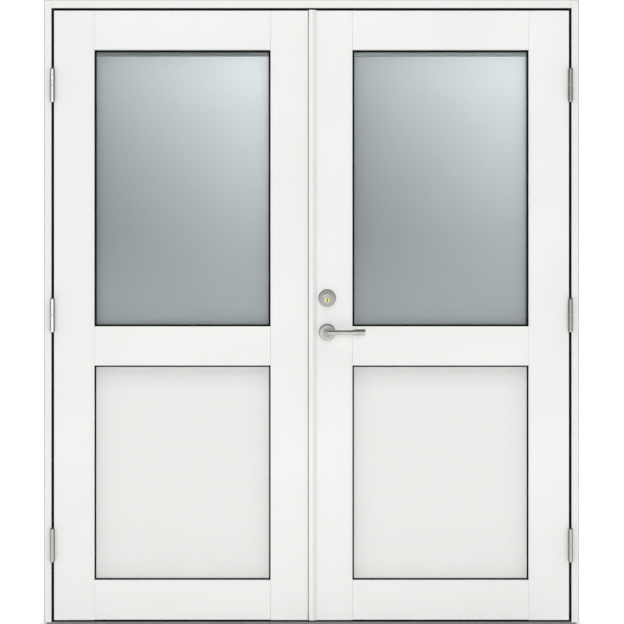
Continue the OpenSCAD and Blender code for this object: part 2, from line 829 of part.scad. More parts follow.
module right_meeting_stile() {
    color(white) difference() {
        bar_z([
            [meet_right + arris / 2, y_front], [open_in - arris, y_front],
            [open_in, y_front + arris], [open_in, y_leaf - arris], [open_in - arris, y_leaf],
            [meet_right + bevel + arris, y_leaf], [meet_right + bevel, y_leaf - arris],
            [meet_right, y_front + arris / 2]
        ], leaf_lift, leaf_top);
        rebates();
        all_tenons(tenon_air);
        block([meet_right - cut, lock_y - case_t / 2 - touch, case_z0 - touch],
              [case_x1 + touch, lock_y + case_t / 2 + touch, case_z1 + touch]);
        block([meet_right - cut, lock_y - forend_w / 2 - 0.1, forend_z0 - 0.1],
              [case_x0, lock_y + forend_w / 2 + 0.1, forend_z1 + 0.1]);
        for (z = forend_screw_zs) forend_screw_place(z) screw(screw_air, 18);
        rod_y(lock_x, lever_z, y_front - cut, y_leaf + cut, shaft_hole_r);
        rod_y(lock_x, ring_z, y_front - cut, lock_y, cylinder_r + touch);
        rod_y(lock_x, plug_z, lock_y, y_leaf + cut, shaft_hole_r);
    }
}

module cover_strip() {
    x0 = meet_right;
    x1 = x0 + strip_w;
    y1 = y_front - strip_out;
    color(white) bar_z([
        [x0, y_front], [x0, y1 + 0.6], [x0 + 0.6, y1], [x0 + strip_flat, y1],
        [x1, y_front - 1.2], [x1, y_front]
    ], leaf_lift, leaf_top);
}

module lock_case() {
    y0 = lock_y - case_t / 2;
    y1 = lock_y + case_t / 2;
    color(steel) difference() {
        block([case_x0, y0, case_z0], [case_x1, y1, case_z1]);
        block([case_x0 - cut, y0 + case_wall, case_z0 + case_wall],
              [case_x1 - case_wall, y1 - case_wall, case_z1 - case_wall]);
        rod_y(lock_x, lever_z, y0 - cut, y1 + cut, neck_r + run_fit);
        rod_y(lock_x, plug_z, y0 - cut, y1 + cut, 6.5);
    }
}

forend_screw_zs = [forend_z0 + 8, forend_z1 - 8];

module forend_screw_place(z) {
    translate([forend_x0, lock_y, z]) children();
}

module lock_forend() {
    color(satin) difference() {
        block([forend_x0, lock_y - forend_w / 2, forend_z0],
              [case_x0, lock_y + forend_w / 2, forend_z1]);
        for (z = [[latch_z, latch_h], [plug_z, deadbolt_h]])
            block([forend_x0 - cut, lock_y - bolt_t / 2 - bolt_air,
                   z[0] - z[1] / 2 - bolt_air],
                  [case_x0 + cut, lock_y + bolt_t / 2 + bolt_air,
                   z[0] + z[1] / 2 + bolt_air]);
        for (z = forend_screw_zs) forend_screw_place(z) screw(screw_air, 18);
    }
}

module forend_screws() {
    color(steel) for (z = forend_screw_zs) forend_screw_place(z) screw(0, 18);
}

// The latch's nose slopes on the outside, so that the closing leaf pushes it in
module latch_bolt() {
    color(steel) bar_z([
        [bolt_x0, lock_y + bolt_t / 2 - 1.5], [bolt_x0 + 9, lock_y - bolt_t / 2],
        [bolt_x0 + latch_l, lock_y - bolt_t / 2], [bolt_x0 + latch_l, lock_y + bolt_t / 2],
        [bolt_x0, lock_y + bolt_t / 2]
    ], latch_z - latch_h / 2, latch_z + latch_h / 2);
}

module deadbolt() {
    color(steel) bar_z(soft(bolt_x0, lock_y - bolt_t / 2, bolt_x0 + deadbolt_l,
                            lock_y + bolt_t / 2, 1),
                       plug_z - deadbolt_h / 2, plug_z + deadbolt_h / 2);
}

module spindle_hole(y0, y1) {
    w = spindle_w / 2 + 0.1;
    block([lock_x - w, y0, lever_z - w], [lock_x + w, y1, lever_z + w]);
}

// The follower turns in the two walls of the case and its wing draws the latch
module lock_follower() {
    y0 = lock_y - case_t / 2;
    y1 = lock_y + case_t / 2;
    color(steel) difference() {
        union() {
            rod_y(lock_x, lever_z, y0, y1, neck_r);
            rod_y(lock_x, lever_z, y0 + case_wall + touch, y1 - case_wall - touch, follower_r);
            block([lock_x - 5, y0 + case_wall + touch, lever_z - 32],
                  [lock_x + 5, y1 - case_wall - touch, lever_z - 9]);
        }
        spindle_hole(y0 - cut, y1 + cut);
    }
}

spindle_in = 26;

module lever_spindle() {
    w = spindle_w / 2;
    color(steel)
        block([lock_x - w, y_front - spindle_in, lever_z - w],
              [lock_x + w, y_leaf + spindle_in, lever_z + w]);
}

grip_l0 = 86;

// A turned neck and a turned grip that meet at a right angle
module lever_body() {
    turned_y(0, 0, [
        [0, 1], [neck_r, 1], [neck_r, lever_out + 2], [neck_r - 0.5, lever_out + 5],
        [neck_r - 1.8, lever_out + 7.2], [neck_r - 4, lever_out + 8.6], [0, lever_out + 9.2]
    ]);
    translate([0, lever_out, 0]) rotate([0, 90, 0]) rotate_extrude() polygon([
        [0, 0], [grip_r, 0], [grip_r, grip_l0 - 4], [grip_r + 0.4, grip_l0 - 2],
        [grip_end_r - 0.4, grip_l0 + 4], [grip_end_r, grip_l0 + 7],
        [grip_end_r, lever_l - 1], [grip_end_r - 1, lever_l], [0, lever_l]
    ]);
}

module lever(way) {
    color(satin) translate([lock_x, 0, lever_z]) on_face(way) difference() {
        union() lever_body();
        block([-spindle_w / 2 - 0.1, 0, -spindle_w / 2 - 0.1],
              [spindle_w / 2 + 0.1, spindle_in + 0.5, spindle_w / 2 + 0.1]);
    }
}

// A turned cover plate with a bore, lying on a leaf's face
module cover_plate(z, r, t, bore) {
    translate([lock_x, 0, z]) turned_y(0, 0, [
        [bore, 0], [r, 0], [r, t - 3], [r - 0.7, t - 1.2], [r - 2.6, t], [bore, t]
    ]);
}

module rosettes() {
    color(satin) for (way = [-1, 1]) on_face(way)
        cover_plate(lever_z, rosette_r, rosette_t, neck_r + run_fit);
}

module cylinder_ring() {
    color(satin) on_face(-1) cover_plate(ring_z, ring_r, ring_t, cylinder_r + 0.1);
}

module lock_cylinder() {
    deep = lock_y - case_t / 2 - y_front;
    color(satin) on_face(-1) difference() {
        turned_y(lock_x, ring_z, [
            [0, -deep], [cylinder_r, -deep], [cylinder_r, cylinder_out - 1.4],
            [cylinder_r - 1.4, cylinder_out], [cylinder_r - 5, cylinder_out],
            [cylinder_r - 6, cylinder_out - 0.8], [0, cylinder_out - 0.8]
        ]);
        rod_y(lock_x, plug_z, -deep - cut, cylinder_out + cut, plug_r + run_fit);
    }
}

module key_plug() {
    deep = lock_y - case_t / 2 - y_front;
    color(brass) on_face(-1) difference() {
        turned_y(lock_x, plug_z, [
            [0, -deep], [plug_r, -deep], [plug_r, cylinder_out - 1.6],
            [plug_r - 0.6, cylinder_out - 1], [0, cylinder_out - 1]
        ]);
        block([lock_x - 0.9, cylinder_out - 16, plug_z - 5],
              [lock_x + 0.9, cylinder_out + cut, plug_z + 5]);
        block([lock_x - 1.4, -deep - cut, plug_z - 3.6],
              [lock_x + 1.4, -deep + 5, plug_z + 3.6]);
    }
}

module tailpiece() {
    color(steel)
        block([lock_x - 1.2, lock_y - case_t / 2 - 4.5, plug_z - 3.4],
              [lock_x + 1.2, y_leaf - 2, plug_z + 3.4]);
}

module thumbturn_rose() {
    color(satin) on_face(1) cover_plate(plug_z, rose_r, rosette_t, turn_r + run_fit);
}

// A shaft and a flat turn piece with round ends
module thumbturn() {
    color(satin) difference() {
        union() {
            on_face(1) rod_y(lock_x, plug_z, -6, rosette_t + 4, turn_r);
            on_face(1) translate([lock_x, rosette_t + 3, plug_z]) rotate([-90, 0, 0])
                linear_extrude(15) union() {
                    square([9, 22], center = true);
                    for (way = [-1, 1]) translate([0, 11 * way]) circle(r = 4.5);
                }
        }
        block([lock_x - 1.4, y_leaf - 7, plug_z - 3.6], [lock_x + 1.4, y_leaf - 1, plug_z + 3.6]);
    }
}

frame_head();
jamb("left");  // left_jamb
jamb("right");  // right_jamb
threshold();
threshold_rail();
frame_seal();
bolt_keepers();
frame_hinge_halves();
hinge_pins();
hinge_washers();
frame_hinge_screws();
hinge_stile("left");  // left_hinge_stile
left_meeting_stile();
top_rail("left");  // left_top_rail
middle_rail("left");  // left_middle_rail
bottom_rail("left");  // left_bottom_rail
pane("left", y_pane);  // left_outer_pane
pane("left", y_inner);  // left_inner_pane
spacer("left");  // left_spacer
gaskets("left");  // left_gaskets
beads("left");  // left_beads
panel("left");  // left_panel
leaf_hinge_halves("left");  // left_hinge_halves
leaf_hinge_screws("left");  // left_hinge_screws
meeting_seal();
strike_plate();
flush_bolt_plates();
left_plate_screws();
top_bolt();
bottom_bolt();
hinge_stile("right");  // right_hinge_stile
right_meeting_stile();
top_rail("right");  // right_top_rail
middle_rail("right");  // right_middle_rail
bottom_rail("right");  // right_bottom_rail
pane("right", y_pane);  // right_outer_pane
pane("right", y_inner);  // right_inner_pane
spacer("right");  // right_spacer
gaskets("right");  // right_gaskets
beads("right");  // right_beads
panel("right");  // right_panel
leaf_hinge_halves("right");  // right_hinge_halves
leaf_hinge_screws("right");  // right_hinge_screws
cover_strip();
lock_case();
lock_forend();
forend_screws();
latch_bolt();
deadbolt();
lock_follower();
lever_spindle();
lever(-1);  // outside_lever
lever(1);  // inside_lever
rosettes();
cylinder_ring();
lock_cylinder();
key_plug();
tailpiece();
thumbturn_rose();
thumbturn();
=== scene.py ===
import json
import math

import bmesh
import bpy
import numpy as np
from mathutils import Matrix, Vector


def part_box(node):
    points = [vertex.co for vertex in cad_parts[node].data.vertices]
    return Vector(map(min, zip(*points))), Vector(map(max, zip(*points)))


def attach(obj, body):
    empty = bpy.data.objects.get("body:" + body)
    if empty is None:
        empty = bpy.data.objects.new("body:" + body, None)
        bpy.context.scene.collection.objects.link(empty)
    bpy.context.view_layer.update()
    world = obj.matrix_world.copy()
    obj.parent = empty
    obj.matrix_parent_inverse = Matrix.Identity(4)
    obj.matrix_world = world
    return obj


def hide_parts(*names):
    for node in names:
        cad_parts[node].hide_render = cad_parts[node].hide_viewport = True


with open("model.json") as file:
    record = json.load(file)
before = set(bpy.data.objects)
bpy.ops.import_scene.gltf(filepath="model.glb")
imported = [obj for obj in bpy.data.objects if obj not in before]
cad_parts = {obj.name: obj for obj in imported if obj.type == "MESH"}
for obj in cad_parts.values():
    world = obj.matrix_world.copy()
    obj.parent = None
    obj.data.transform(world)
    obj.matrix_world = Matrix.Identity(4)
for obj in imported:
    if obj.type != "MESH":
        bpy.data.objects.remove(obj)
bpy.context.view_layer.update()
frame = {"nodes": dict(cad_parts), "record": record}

# A double entrance door of painted timber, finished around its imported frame.
# Metres throughout; mm turns a drawing's millimetres into metres.
mm = 0.001


def srgb(code, alpha=1.0):
    # an sRGB hex colour turned to linear light
    parts = np.array([int(code[i:i + 2], 16) for i in (1, 3, 5)]) / 255
    linear = np.where(parts <= 0.04045, parts / 12.92, ((parts + 0.055) / 1.055) ** 2.4)
    return (*[float(c) for c in linear], alpha)


def add(tree, kind, settings=None, links=None):
    # Adds one node, sets its properties or sockets, and links earlier nodes to its sockets: a
    # link is a node, for its first output, or a node with one output's name or number.
    made = tree.nodes.new(kind)
    for name, value in (settings or {}).items():
        if isinstance(name, int) or name in made.inputs:
            made.inputs[name].default_value = value
        else:
            setattr(made, name, value)
    for name, source in (links or {}).items():
        node, output = source if isinstance(source, tuple) else (source, 0)
        tree.links.new(node.outputs[output], made.inputs[name])
    return made


def blank(name):
    # a new material, its emptied tree and its object coordinates
    material = bpy.data.materials.new(name)
    material.use_nodes = True
    tree = material.node_tree
    tree.nodes.clear()
    return material, tree, (add(tree, "ShaderNodeTexCoord"), "Object")


def spread(low=0.0, high=1.0):
    # where most of a noise's values lie, and what they are carried to
    return {"From Min": 0.35, "From Max": 0.65, "To Min": low, "To Max": high}


def mottled(tree, place, light, dark, noise):
    # Two colours in soft patches: gives the colour and the noise with these settings behind it.
    patches = add(tree, "ShaderNodeTexNoise", noise, {"Vector": place})
    share = add(tree, "ShaderNodeMapRange", spread(), {"Value": patches})
    colour = add(tree, "ShaderNodeMix", {"data_type": "RGBA", 6: srgb(light), 7: srgb(dark)},
                 {0: share})
    return (colour, 2), patches


timberPaint = {
    "white": "#E4E4E2",          # opaque white, a touch warm
    "shade": "#E0E0DE",          # slow drift in film thickness
    "frame": "#E0E0DE",          # the frame's coat, greyer than the leaves'
    "drift": 0.4,                # size of that drift, in metres
    "grainWide": 2.2 * mm,       # spacing of the raised grain under the film
    "grainLong": 260 * mm,
    "grainDeep": 0.06 * mm,
    "peel": 1.6 * mm,            # sprayed film's orange peel
    "peelDeep": 0.02 * mm,
    "cloud": 30 * mm,            # patches of gloss and satin
    "roughness": (0.36, 0.46),
    # depth of a cut edge, half its range and its colour: painted shade along the frame's front
    # edges, and painted shade on the slope of the cover strip
    "frameEdgeShade": (-50.4 * mm, 2.0 * mm, "#A6A6A4"),
    "stripEdge": (-58.2 * mm, 5.0 * mm, "#D9D9D7"),
    "gapShadow": "#050505",        # painted shadow: black along the edges of the gaps
    "sideGap": 865.75 * mm, "topGap": 2058.75 * mm,      # middles of the gaps round the leaves
    "gapShadowHalf": 4.6 * mm,        # half the width of gap and painted shadow line together
    "face": (-52.5 * mm, 1.5 * mm),              # depth of the outside faces, and half its range
}


def makeTimberPaint(name, along, white="white", shade="shade", edge=None):
    # Satin alkyd paint sprayed on planed pine: reads as flat white with a soft, broad sheen,
    # and only raking light shows the faint grain and spray texture.
    look = timberPaint
    material, tree, place = blank(name)
    coat, _ = mottled(tree, place, look[white], look[shade],
                      {"Scale": 1 / look["drift"], "Detail": 3.0})
    parts = add(tree, "ShaderNodeSeparateXYZ", links={"Vector": place})
    if edge:
        # painted shade between two depths, where the piece's front edge is cut away
        depth, halfRange, edgeShade = look[edge]
        cut = add(tree, "ShaderNodeMath", {"operation": "COMPARE", 1: depth, 2: halfRange},
                  {0: (parts, "Y")})
        coat = (add(tree, "ShaderNodeMix", {"data_type": "RGBA", 7: srgb(edgeShade)},
                    {0: cut, 6: coat}), 2)
    # painted shadow: black at the front where the larger of the distances past the side gap
    # and past the top gap is near nothing, which is a line that turns the corners
    outwards = add(tree, "ShaderNodeMath", {"operation": "ABSOLUTE"}, {0: (parts, "X")})
    past = [add(tree, "ShaderNodeMath", {"operation": "SUBTRACT", 1: look[gap]}, {0: source})
            for gap, source in (("sideGap", outwards), ("topGap", (parts, "Z")))]
    farther = add(tree, "ShaderNodeMath", {"operation": "MAXIMUM"}, {0: past[0], 1: past[1]})
    beside = add(tree, "ShaderNodeMath", {"operation": "COMPARE", 1: 0.0,
                                          2: look["gapShadowHalf"]}, {0: farther})
    front = add(tree, "ShaderNodeMath", {"operation": "COMPARE", 1: look["face"][0],
                                         2: look["face"][1]}, {0: (parts, "Y")})
    line = add(tree, "ShaderNodeMath", {"operation": "MULTIPLY"}, {0: beside, 1: front})
    colour = add(tree, "ShaderNodeMix", {"data_type": "RGBA", 7: srgb(look["gapShadow"])},
                 {0: line, 6: coat})
    size = [look["grainWide"]] * 3
    size[along] = look["grainLong"]
    drawn = add(tree, "ShaderNodeMapping", {"Scale": [1 / s for s in size]}, {"Vector": place})
    grain = add(tree, "ShaderNodeTexNoise", {"Scale": 1.0, "Detail": 4.0, "Roughness": 0.6},
                {"Vector": drawn})
    raised = add(tree, "ShaderNodeBump", {"Distance": look["grainDeep"], "Strength": 0.5},
                 {"Height": grain})
    peel = add(tree, "ShaderNodeTexNoise", {"Scale": 1 / look["peel"], "Detail": 1.0},
               {"Vector": place})
    surface = add(tree, "ShaderNodeBump", {"Distance": look["peelDeep"], "Strength": 0.5},
                  {"Height": peel, "Normal": raised})
    cloud = add(tree, "ShaderNodeTexNoise", {"Scale": 1 / look["cloud"]}, {"Vector": place})
    satin = add(tree, "ShaderNodeMapRange", spread(*look["roughness"]), {"Value": cloud})
    shader = add(tree, "ShaderNodeBsdfPrincipled", {"IOR": 1.5},
                 {"Base Color": (colour, 2), "Roughness": satin, "Normal": surface})
    add(tree, "ShaderNodeOutputMaterial", links={"Surface": shader})
    return material


panelPaint = {
    "white": "#DDDDDB",
    "top": 0.865, "bottom": 0.955, "sides": 0.93,  # painted shade: how much of the white is left at each edge
    "fade": 0.12,                # how far the painted shade's darker margin reaches in, in metres
    "hidden": 0.014,             # how far the panel goes in behind its frame
    "early": 0.09,               # how far outside the opening the fade's curve starts
    "peel": 1.9 * mm,            # orange peel, coarser than on the timber
    "peelDeep": 0.02 * mm,
    "roughness": 0.42,
}


def makePanelPaint(name, node):
    # Satin paint sprayed on board: smoother than timber, no grain, and greyed towards its
    # margins by painted shade, where the frame around it holds the light off.
    look = panelPaint
    material, tree, place = blank(name)
    low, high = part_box(node)
    parts = add(tree, "ShaderNodeSeparateXYZ", links={"Vector": place})
    shade = None
    for axis, edge, way, left in (("X", low[0], 1, "sides"), ("X", high[0], -1, "sides"),
                                  ("Z", low[2], 1, "bottom"), ("Z", high[2], -1, "top")):
        # each margin's painted shade rises from the white that is left at its edge to 1 where it
        # ends
        start = edge + way * look["hidden"]
        marginShade = add(tree, "ShaderNodeMapRange", {
            "interpolation_type": "SMOOTHERSTEP", "From Min": start - way * look["early"],
            "From Max": start + way * look["fade"], "To Min": 2 * look[left] - 1, "To Max": 1.0,
        }, {"Value": (parts, axis)})
        shade = marginShade if shade is None else add(
            tree, "ShaderNodeMath", {"operation": "MULTIPLY"}, {0: shade, 1: marginShade})
    colour = add(tree, "ShaderNodeMix", {"data_type": "RGBA", 6: srgb("#000000"),
                                         7: srgb(look["white"])}, {0: shade})
    peel = add(tree, "ShaderNodeTexNoise", {"Scale": 1 / look["peel"], "Detail": 1.0},
               {"Vector": place})
    surface = add(tree, "ShaderNodeBump", {"Distance": look["peelDeep"], "Strength": 0.5},
                  {"Height": peel})
    shader = add(tree, "ShaderNodeBsdfPrincipled", {"Roughness": look["roughness"]},
                 {"Base Color": (colour, 2), "Normal": surface})
    add(tree, "ShaderNodeOutputMaterial", links={"Surface": shader})
    return material


epdm = {
    "dust": (12 * mm, 12 * mm, 50 * mm),         # size of the dust's patches
    "from": 0.45, "full": 0.75,                  # noise at which dust starts and is full
    "line": 0.7 * mm, "deep": 0.03 * mm,         # width and depth of the die lines
    "roughness": 0.75, "gloss": 0.12,
}


def makeEpdm(name, colour, dusty):
    # Extruded EPDM: dense matt rubber with a trace of dust and fine die lines, which are drawn
    # coarser than real.
    material, tree, place = blank(name)
    drawn = add(tree, "ShaderNodeMapping", {"Scale": [1 / s for s in epdm["dust"]]},
                {"Vector": place})
    dust = add(tree, "ShaderNodeTexNoise", {"Scale": 1.0, "Detail": 4.0, "Roughness": 0.6},
               {"Vector": drawn})
    patches = add(tree, "ShaderNodeMapRange", {"From Min": epdm["from"],
                                               "From Max": epdm["full"]}, {"Value": dust})
    colours = add(tree, "ShaderNodeMix", {"data_type": "RGBA", 6: srgb(colour),
                                          7: srgb(dusty)}, {0: patches})
    lines = add(tree, "ShaderNodeTexNoise", {"Scale": 1 / epdm["line"]}, {"Vector": place})
    surface = add(tree, "ShaderNodeBump", {"Distance": epdm["deep"], "Strength": 0.6},
                  {"Height": lines})
    shader = add(tree, "ShaderNodeBsdfPrincipled", {
        "Roughness": epdm["roughness"], "Specular IOR Level": epdm["gloss"],
    }, {"Base Color": (colours, 2), "Normal": surface})
    add(tree, "ShaderNodeOutputMaterial", links={"Surface": shader})
    return material


turnedSteel = {
    "light": "#C6C5C3", "dark": "#BAB9B6", "cloud": 20 * mm,
    "paintedShade": "#8B8A88", "door": -21.5 * mm,       # the painted shade's colour and the leaf's middle
    "reach": (38.8 * mm, 35.6 * mm),             # from there, where it starts and is full
    "line": 0.35 * mm, "round": 60 * mm,         # a brush line's width and its run
    "deep": 0.008 * mm,
    "roughness": (0.23, 0.35),
}


def addBrushing(tree, place, look, axis, colour):
    # The steel itself: lines round the axis that a piece was turned on, each a little smoother
    # or rougher and a little raised.
    size = [look["round"]] * 3
    size[axis] = look["line"]
    drawn = add(tree, "ShaderNodeMapping", {"Scale": [1 / s for s in size]}, {"Vector": place})
    lines = add(tree, "ShaderNodeTexNoise", {"Scale": 1.0}, {"Vector": drawn})
    brushed = add(tree, "ShaderNodeMapRange", spread(*look["roughness"]), {"Value": lines})
    surface = add(tree, "ShaderNodeBump", {"Distance": look["deep"], "Strength": 0.25},
                  {"Height": lines})
    shader = add(tree, "ShaderNodeBsdfPrincipled", {"Metallic": 1.0},
                 {"Base Color": colour, "Roughness": brushed, "Normal": surface})
    add(tree, "ShaderNodeOutputMaterial", links={"Surface": shader})


def makeTurnedSteel(name):
    # Stainless steel turned and then satin brushed: fine lines run round the level turning axis
    # and spread each highlight into a soft band. Lines are drawn coarser than real, 0.35 mm.
    # A darker grey is painted at the foot of each plate, next to the door, as shade.
    look = turnedSteel
    material, tree, place = blank(name)
    metal, _ = mottled(tree, place, look["light"], look["dark"],
                       {"Scale": 1 / look["cloud"], "Detail": 3.0})
    parts = add(tree, "ShaderNodeSeparateXYZ", links={"Vector": place})
    offset = add(tree, "ShaderNodeMath", {"operation": "SUBTRACT", 1: look["door"]},
                 {0: (parts, "Y")})
    away = add(tree, "ShaderNodeMath", {"operation": "ABSOLUTE"}, {0: offset})
    footShade = add(tree, "ShaderNodeMapRange", {"From Min": look["reach"][0],
                                            "From Max": look["reach"][1]}, {"Value": away})
    colour = add(tree, "ShaderNodeMix", {"data_type": "RGBA", 7: srgb(look["paintedShade"])},
                 {0: footShade, 6: metal})
    addBrushing(tree, place, look, 1, (colour, 2))
    return material


hingeSteel = {
    "left": "#FFFFFD", "right": "#B9B8B5",       # painted highlight on the front of each side's knuckles
    "sides": (-0.5, 0.5),        # X, in metres, beyond which a knuckle is of either side
    "highlightFall": (0.9, 0.3),          # height at which the left side's painted highlight is still full, and is gone
    "flankShade": "#666563",          # painted shade on the flanks next to the timber
    "split": (-68.6 * mm, -66.4 * mm),           # depths between which the painted shade takes over
    "line": 0.35 * mm, "round": 60 * mm,         # a brush line's width and its run
    "deep": 0.008 * mm,
    "roughness": (0.14, 0.24),
}


def makeHingeSteel(name):
    # Turned stainless steel again, its lines round the upright pin, with a painted highlight
    # down the front of the knuckles and painted shade on the flanks next to the timber.
    look = hingeSteel
    material, tree, place = blank(name)
    parts = add(tree, "ShaderNodeSeparateXYZ", links={"Vector": place})
    side = add(tree, "ShaderNodeMapRange", {
        "From Min": look["sides"][0], "From Max": look["sides"][1]}, {"Value": (parts, "X")})
    low = add(tree, "ShaderNodeMapRange", {"From Min": look["highlightFall"][0],
                                           "From Max": look["highlightFall"][1]}, {"Value": (parts, "Z")})
    lessHighlight = add(tree, "ShaderNodeMath", {"operation": "MAXIMUM"}, {0: side, 1: low})
    front = add(tree, "ShaderNodeMix", {"data_type": "RGBA", 6: srgb(look["left"]),
                                        7: srgb(look["right"])}, {0: lessHighlight})
    paintedShade = add(tree, "ShaderNodeMapRange", {
        "interpolation_type": "SMOOTHSTEP", "From Min": look["split"][0],
        "From Max": look["split"][1]}, {"Value": (parts, "Y")})
    colour = add(tree, "ShaderNodeMix", {"data_type": "RGBA", 7: srgb(look["flankShade"])},
                 {0: paintedShade, 6: (front, 2)})
    addBrushing(tree, place, look, 2, (colour, 2))
    return material


zinc = {
    "light": "#BFC3C6", "dark": "#A9ADB1", "mottle": 6 * mm,
    "fine": 0.8 * mm, "deep": 0.01 * mm,         # width and depth of the plating's grain
    "roughness": (0.26, 0.42),
}


def makeZincSteel(name):
    # Bright zinc plating on pressed steel: slightly mottled, cooler than stainless. The grain
    # is drawn coarser than real.
    material, tree, place = blank(name)
    colour, mottle = mottled(tree, place, zinc["light"], zinc["dark"], {
        "Scale": 1 / zinc["mottle"], "Detail": 4.0, "Roughness": 0.65})
    uneven = add(tree, "ShaderNodeMapRange", spread(*zinc["roughness"]), {"Value": mottle})
    fine = add(tree, "ShaderNodeTexNoise", {"Scale": 1 / zinc["fine"]}, {"Vector": place})
    surface = add(tree, "ShaderNodeBump", {"Distance": zinc["deep"], "Strength": 0.4},
                  {"Height": fine})
    shader = add(tree, "ShaderNodeBsdfPrincipled", {"Metallic": 1.0},
                 {"Base Color": colour, "Roughness": uneven, "Normal": surface})
    add(tree, "ShaderNodeOutputMaterial", links={"Surface": shader})
    return material


brass = {
    "bright": "#FFF9C4", "worn": "#F7EC9A", "patch": 5 * mm, "roughness": (0.3, 0.42),
    "keywayShade": "#1C1306",
    # middle of the keyway and half of what the painted shade covers, across and up
    "across": (52.5 * mm, 1.6 * mm), "up": (1085.9 * mm, 5.6 * mm),
    "line": 0.3 * mm, "round": 40 * mm,          # a turning line's width and its run
    "deep": 0.01 * mm,
}


def makeBrass(name):
    # Turned brass of the key plug: pale warm yellow worn a little unevenly, with turning lines
    # drawn coarser than real. The keyway is painted dark as shade, told by its place on the plug.
    material, tree, place = blank(name)
    metal, wear = mottled(tree, place, brass["bright"], brass["worn"],
                          {"Scale": 1 / brass["patch"], "Detail": 3.0})
    parts = add(tree, "ShaderNodeSeparateXYZ", links={"Vector": place})
    across = add(tree, "ShaderNodeMath", {"operation": "COMPARE", 1: brass["across"][0],
                                          2: brass["across"][1]}, {0: (parts, "X")})
    up = add(tree, "ShaderNodeMath", {"operation": "COMPARE", 1: brass["up"][0],
                                      2: brass["up"][1]}, {0: (parts, "Z")})
    keyway = add(tree, "ShaderNodeMath", {"operation": "MULTIPLY"}, {0: across, 1: up})
    colour = add(tree, "ShaderNodeMix", {"data_type": "RGBA", 7: srgb(brass["keywayShade"])},
                 {0: keyway, 6: metal})
    uneven = add(tree, "ShaderNodeMapRange", spread(*brass["roughness"]), {"Value": wear})
    drawn = add(tree, "ShaderNodeMapping", {"Scale": (1 / brass["round"], 1 / brass["line"],
                                                      1 / brass["round"])}, {"Vector": place})
    lines = add(tree, "ShaderNodeTexNoise", {"Scale": 1.0, "Detail": 1.0}, {"Vector": drawn})
    surface = add(tree, "ShaderNodeBump", {"Distance": brass["deep"], "Strength": 0.3},
                  {"Height": lines})
    shader = add(tree, "ShaderNodeBsdfPrincipled", {"Metallic": 1.0},
                 {"Base Color": (colour, 2), "Roughness": uneven, "Normal": surface})
    add(tree, "ShaderNodeOutputMaterial", links={"Surface": shader})
    return material


anodised = {
    "run": 400 * mm, "line": 0.5 * mm, "deep": 0.02 * mm,        # of the extrusion lines
    "metallic": 0.85,            # the clear oxide dulls the metal a little
    "uneven": (0.04, 0.06),      # how much smoother and rougher than the given roughness
}


def makeAnodised(name, light, dark, roughness):
    # Anodised aluminium profile: an even grey with faint extrusion lines along its length.
    material, tree, place = blank(name)
    drawn = add(tree, "ShaderNodeMapping", {
        "Scale": (1 / anodised["run"], 1 / anodised["line"], 1 / anodised["line"]),
    }, {"Vector": place})
    colour, lines = mottled(tree, drawn, light, dark, {"Scale": 1.0})
    smoother, rougher = anodised["uneven"]
    uneven = add(tree, "ShaderNodeMapRange", spread(roughness - smoother, roughness + rougher),
                 {"Value": lines})
    surface = add(tree, "ShaderNodeBump", {"Distance": anodised["deep"], "Strength": 0.4},
                  {"Height": lines})
    shader = add(tree, "ShaderNodeBsdfPrincipled", {"Metallic": anodised["metallic"]},
                 {"Base Color": colour, "Roughness": uneven, "Normal": surface})
    add(tree, "ShaderNodeOutputMaterial", links={"Surface": shader})
    return material


composite = {
    "light": "#77787A", "dark": "#6A6B6C", "roughness": 0.6,
    "speckle": 1.1 * mm, "deep": 0.05 * mm,      # size and depth of the moulded speckle
}


def makeComposite(name):
    # Glass-fibre composite sill: matt mid grey with fine moulded speckle.
    material, tree, place = blank(name)
    colour, speckle = mottled(tree, place, composite["light"], composite["dark"], {
        "Scale": 1 / composite["speckle"], "Detail": 3.0, "Roughness": 0.7})
    surface = add(tree, "ShaderNodeBump", {"Distance": composite["deep"], "Strength": 0.5},
                  {"Height": speckle})
    shader = add(tree, "ShaderNodeBsdfPrincipled", {"Roughness": composite["roughness"]},
                 {"Base Color": colour, "Normal": surface})
    add(tree, "ShaderNodeOutputMaterial", links={"Surface": shader})
    return material


paneGlass = {
    # painted sky reflection's colours up the left and the right edge, each with its place up the
    # pane
    "left": ((0.0, "#99A0A2"), (0.3, "#7D8385"), (0.55, "#878E91"), (0.8, "#99A1A4"),
             (1.0, "#ACB3B7")),
    "right": ((0.0, "#999FA2"), (0.3, "#A1AAAC"), (0.55, "#BEC6C9"), (0.8, "#D4DCDF"),
              (1.0, "#F4FAFE")),
    "clear": 0.05,               # what the outer sheet keeps of the light that meets it
    "body": ("#B9C2C2", "#C3CBCC"),              # the outer sheet's own faint colour
    "roughness": 0.03,
    "wave": 0.4, "deep": 0.3 * mm,               # a sheet's slow waves, 0.4 m long
}


